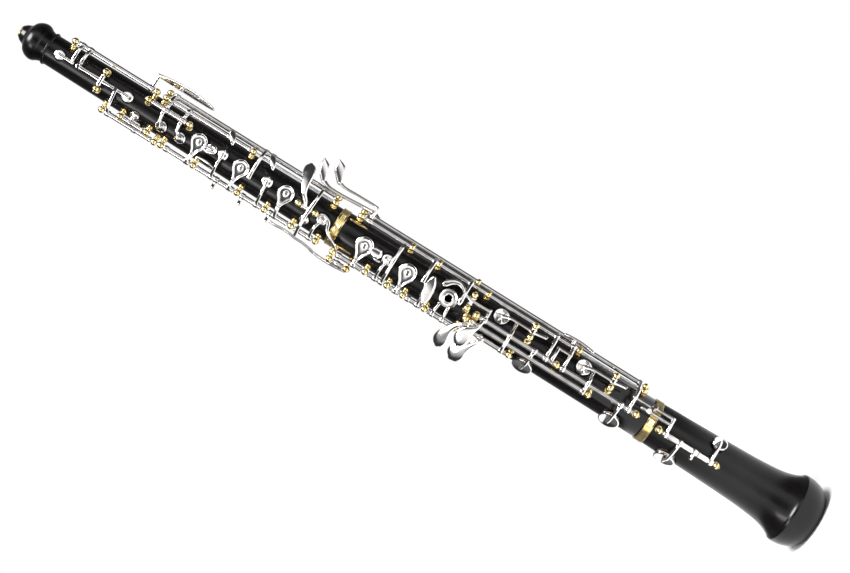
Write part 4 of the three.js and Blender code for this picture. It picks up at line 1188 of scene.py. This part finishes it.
def makeFloor():
    bm = bmesh.new()
    turnOn(bm, Vector((0, 0, -0.4)), upright,
           [(0, 0), (studio["reach"] * 500, 0), (studio["reach"] * 1000, 0)], 64)
    bmesh.ops.scale(bm, vec=(mm, mm, mm), verts=bm.verts)
    mesh = bpy.data.meshes.new("floor")
    bm.to_mesh(mesh)
    bm.free()
    floor = bpy.data.objects.new("floor", mesh)
    bpy.context.scene.collection.objects.link(floor)
    material, tree, shader, coordinates = newMaterial("paleFloor", studio["floor"], 0.7, 0)
    cloud = noiseFrom(tree, coordinates, 3)
    colour = rampFrom(tree, cloud, [(0.3, (0.91, 0.91, 0.91)), (0.7, studio["floor"])])
    tree.links.new(colour.outputs["Color"], shader.inputs["Base Color"])
    mesh.materials.append(material)


def areaLight(name, at, aim, size, sizeY, power):
    light = bpy.data.lights.new(name, "AREA")
    light.shape = "RECTANGLE"
    light.size = size
    light.size_y = sizeY
    light.energy = power
    lamp = bpy.data.objects.new(name, light)
    bpy.context.scene.collection.objects.link(lamp)
    lamp.location = at
    lamp.rotation_euler = (Vector(aim) - Vector(at)).to_track_quat("-Z", "Y").to_euler()


cameraSet = {"distance": 1.027, "aim": (-0.0026, 0, 0.2897), "lens": 67.8, "roll": -58.15}


def makeCamera():
    data = bpy.data.cameras.new("camera")
    data.lens = cameraSet["lens"]
    data.sensor_width = 36
    data.clip_start = 0.01
    data.clip_end = 100
    camera = bpy.data.objects.new("camera", data)
    bpy.context.scene.collection.objects.link(camera)
    a = math.radians(cameraSet["roll"])
    right = Vector((math.cos(a), 0, math.sin(a)))
    up = Vector((-math.sin(a), 0, math.cos(a)))
    back = Vector((0, -1, 0))
    aim = Vector(cameraSet["aim"])
    turn = Matrix((right, up, back)).transposed().to_4x4()
    camera.matrix_world = Matrix.Translation(aim + back * cameraSet["distance"]) @ turn
    bpy.context.scene.camera = camera


def makeSky():
    world = bpy.data.worlds.new("studioSky")
    bpy.context.scene.world = world
    world.use_nodes = True
    tree = world.node_tree
    plain = tree.nodes["Background"]
    plain.inputs["Color"].default_value = (*studio["backdrop"], 1)
    coordinates = tree.nodes.new("ShaderNodeTexCoord")
    axes = tree.nodes.new("ShaderNodeSeparateXYZ")
    tree.links.new(coordinates.outputs["Generated"], axes.inputs["Vector"])
    flip = tree.nodes.new("ShaderNodeMath")
    flip.operation = "MULTIPLY"
    flip.inputs[1].default_value = -1
    tree.links.new(axes.outputs["Y"], flip.inputs[0])
    around = tree.nodes.new("ShaderNodeMath")
    around.operation = "ARCTAN2"
    tree.links.new(axes.outputs["X"], around.inputs[0])
    tree.links.new(flip.outputs["Value"], around.inputs[1])
    share = tree.nodes.new("ShaderNodeMapRange")
    share.inputs["From Min"].default_value = -math.pi
    share.inputs["From Max"].default_value = math.pi
    tree.links.new(around.outputs["Value"], share.inputs["Value"])
    bands = tree.nodes.new("ShaderNodeValToRGB")
    while len(bands.color_ramp.elements) < len(studio["bands"]):
        bands.color_ramp.elements.new(0.5)
    for element, (turn, level) in zip(bands.color_ramp.elements, studio["bands"]):
        element.position = turn / 360 + 0.5
        element.color = (level, level, level * 1.03, 1)
    tree.links.new(share.outputs["Result"], bands.inputs["Fac"])
    mirrored = tree.nodes.new("ShaderNodeBackground")
    mirrored.inputs["Strength"].default_value = studio["mirrorStrength"]
    tree.links.new(bands.outputs["Color"], mirrored.inputs["Color"])
    seen = tree.nodes.new("ShaderNodeLightPath")
    choose = tree.nodes.new("ShaderNodeMixShader")
    tree.links.new(seen.outputs["Is Camera Ray"], choose.inputs["Fac"])
    tree.links.new(mirrored.outputs["Background"], choose.inputs[1])
    tree.links.new(plain.outputs["Background"], choose.inputs[2])
    tree.links.new(choose.outputs["Shader"], tree.nodes["World Output"].inputs["Surface"])


makeFloor()
makeSky()
for lamp in studio["lights"]:
    areaLight(*lamp)
makeCamera()
bpy.context.scene.view_settings.view_transform = "Standard"
print("stage set")
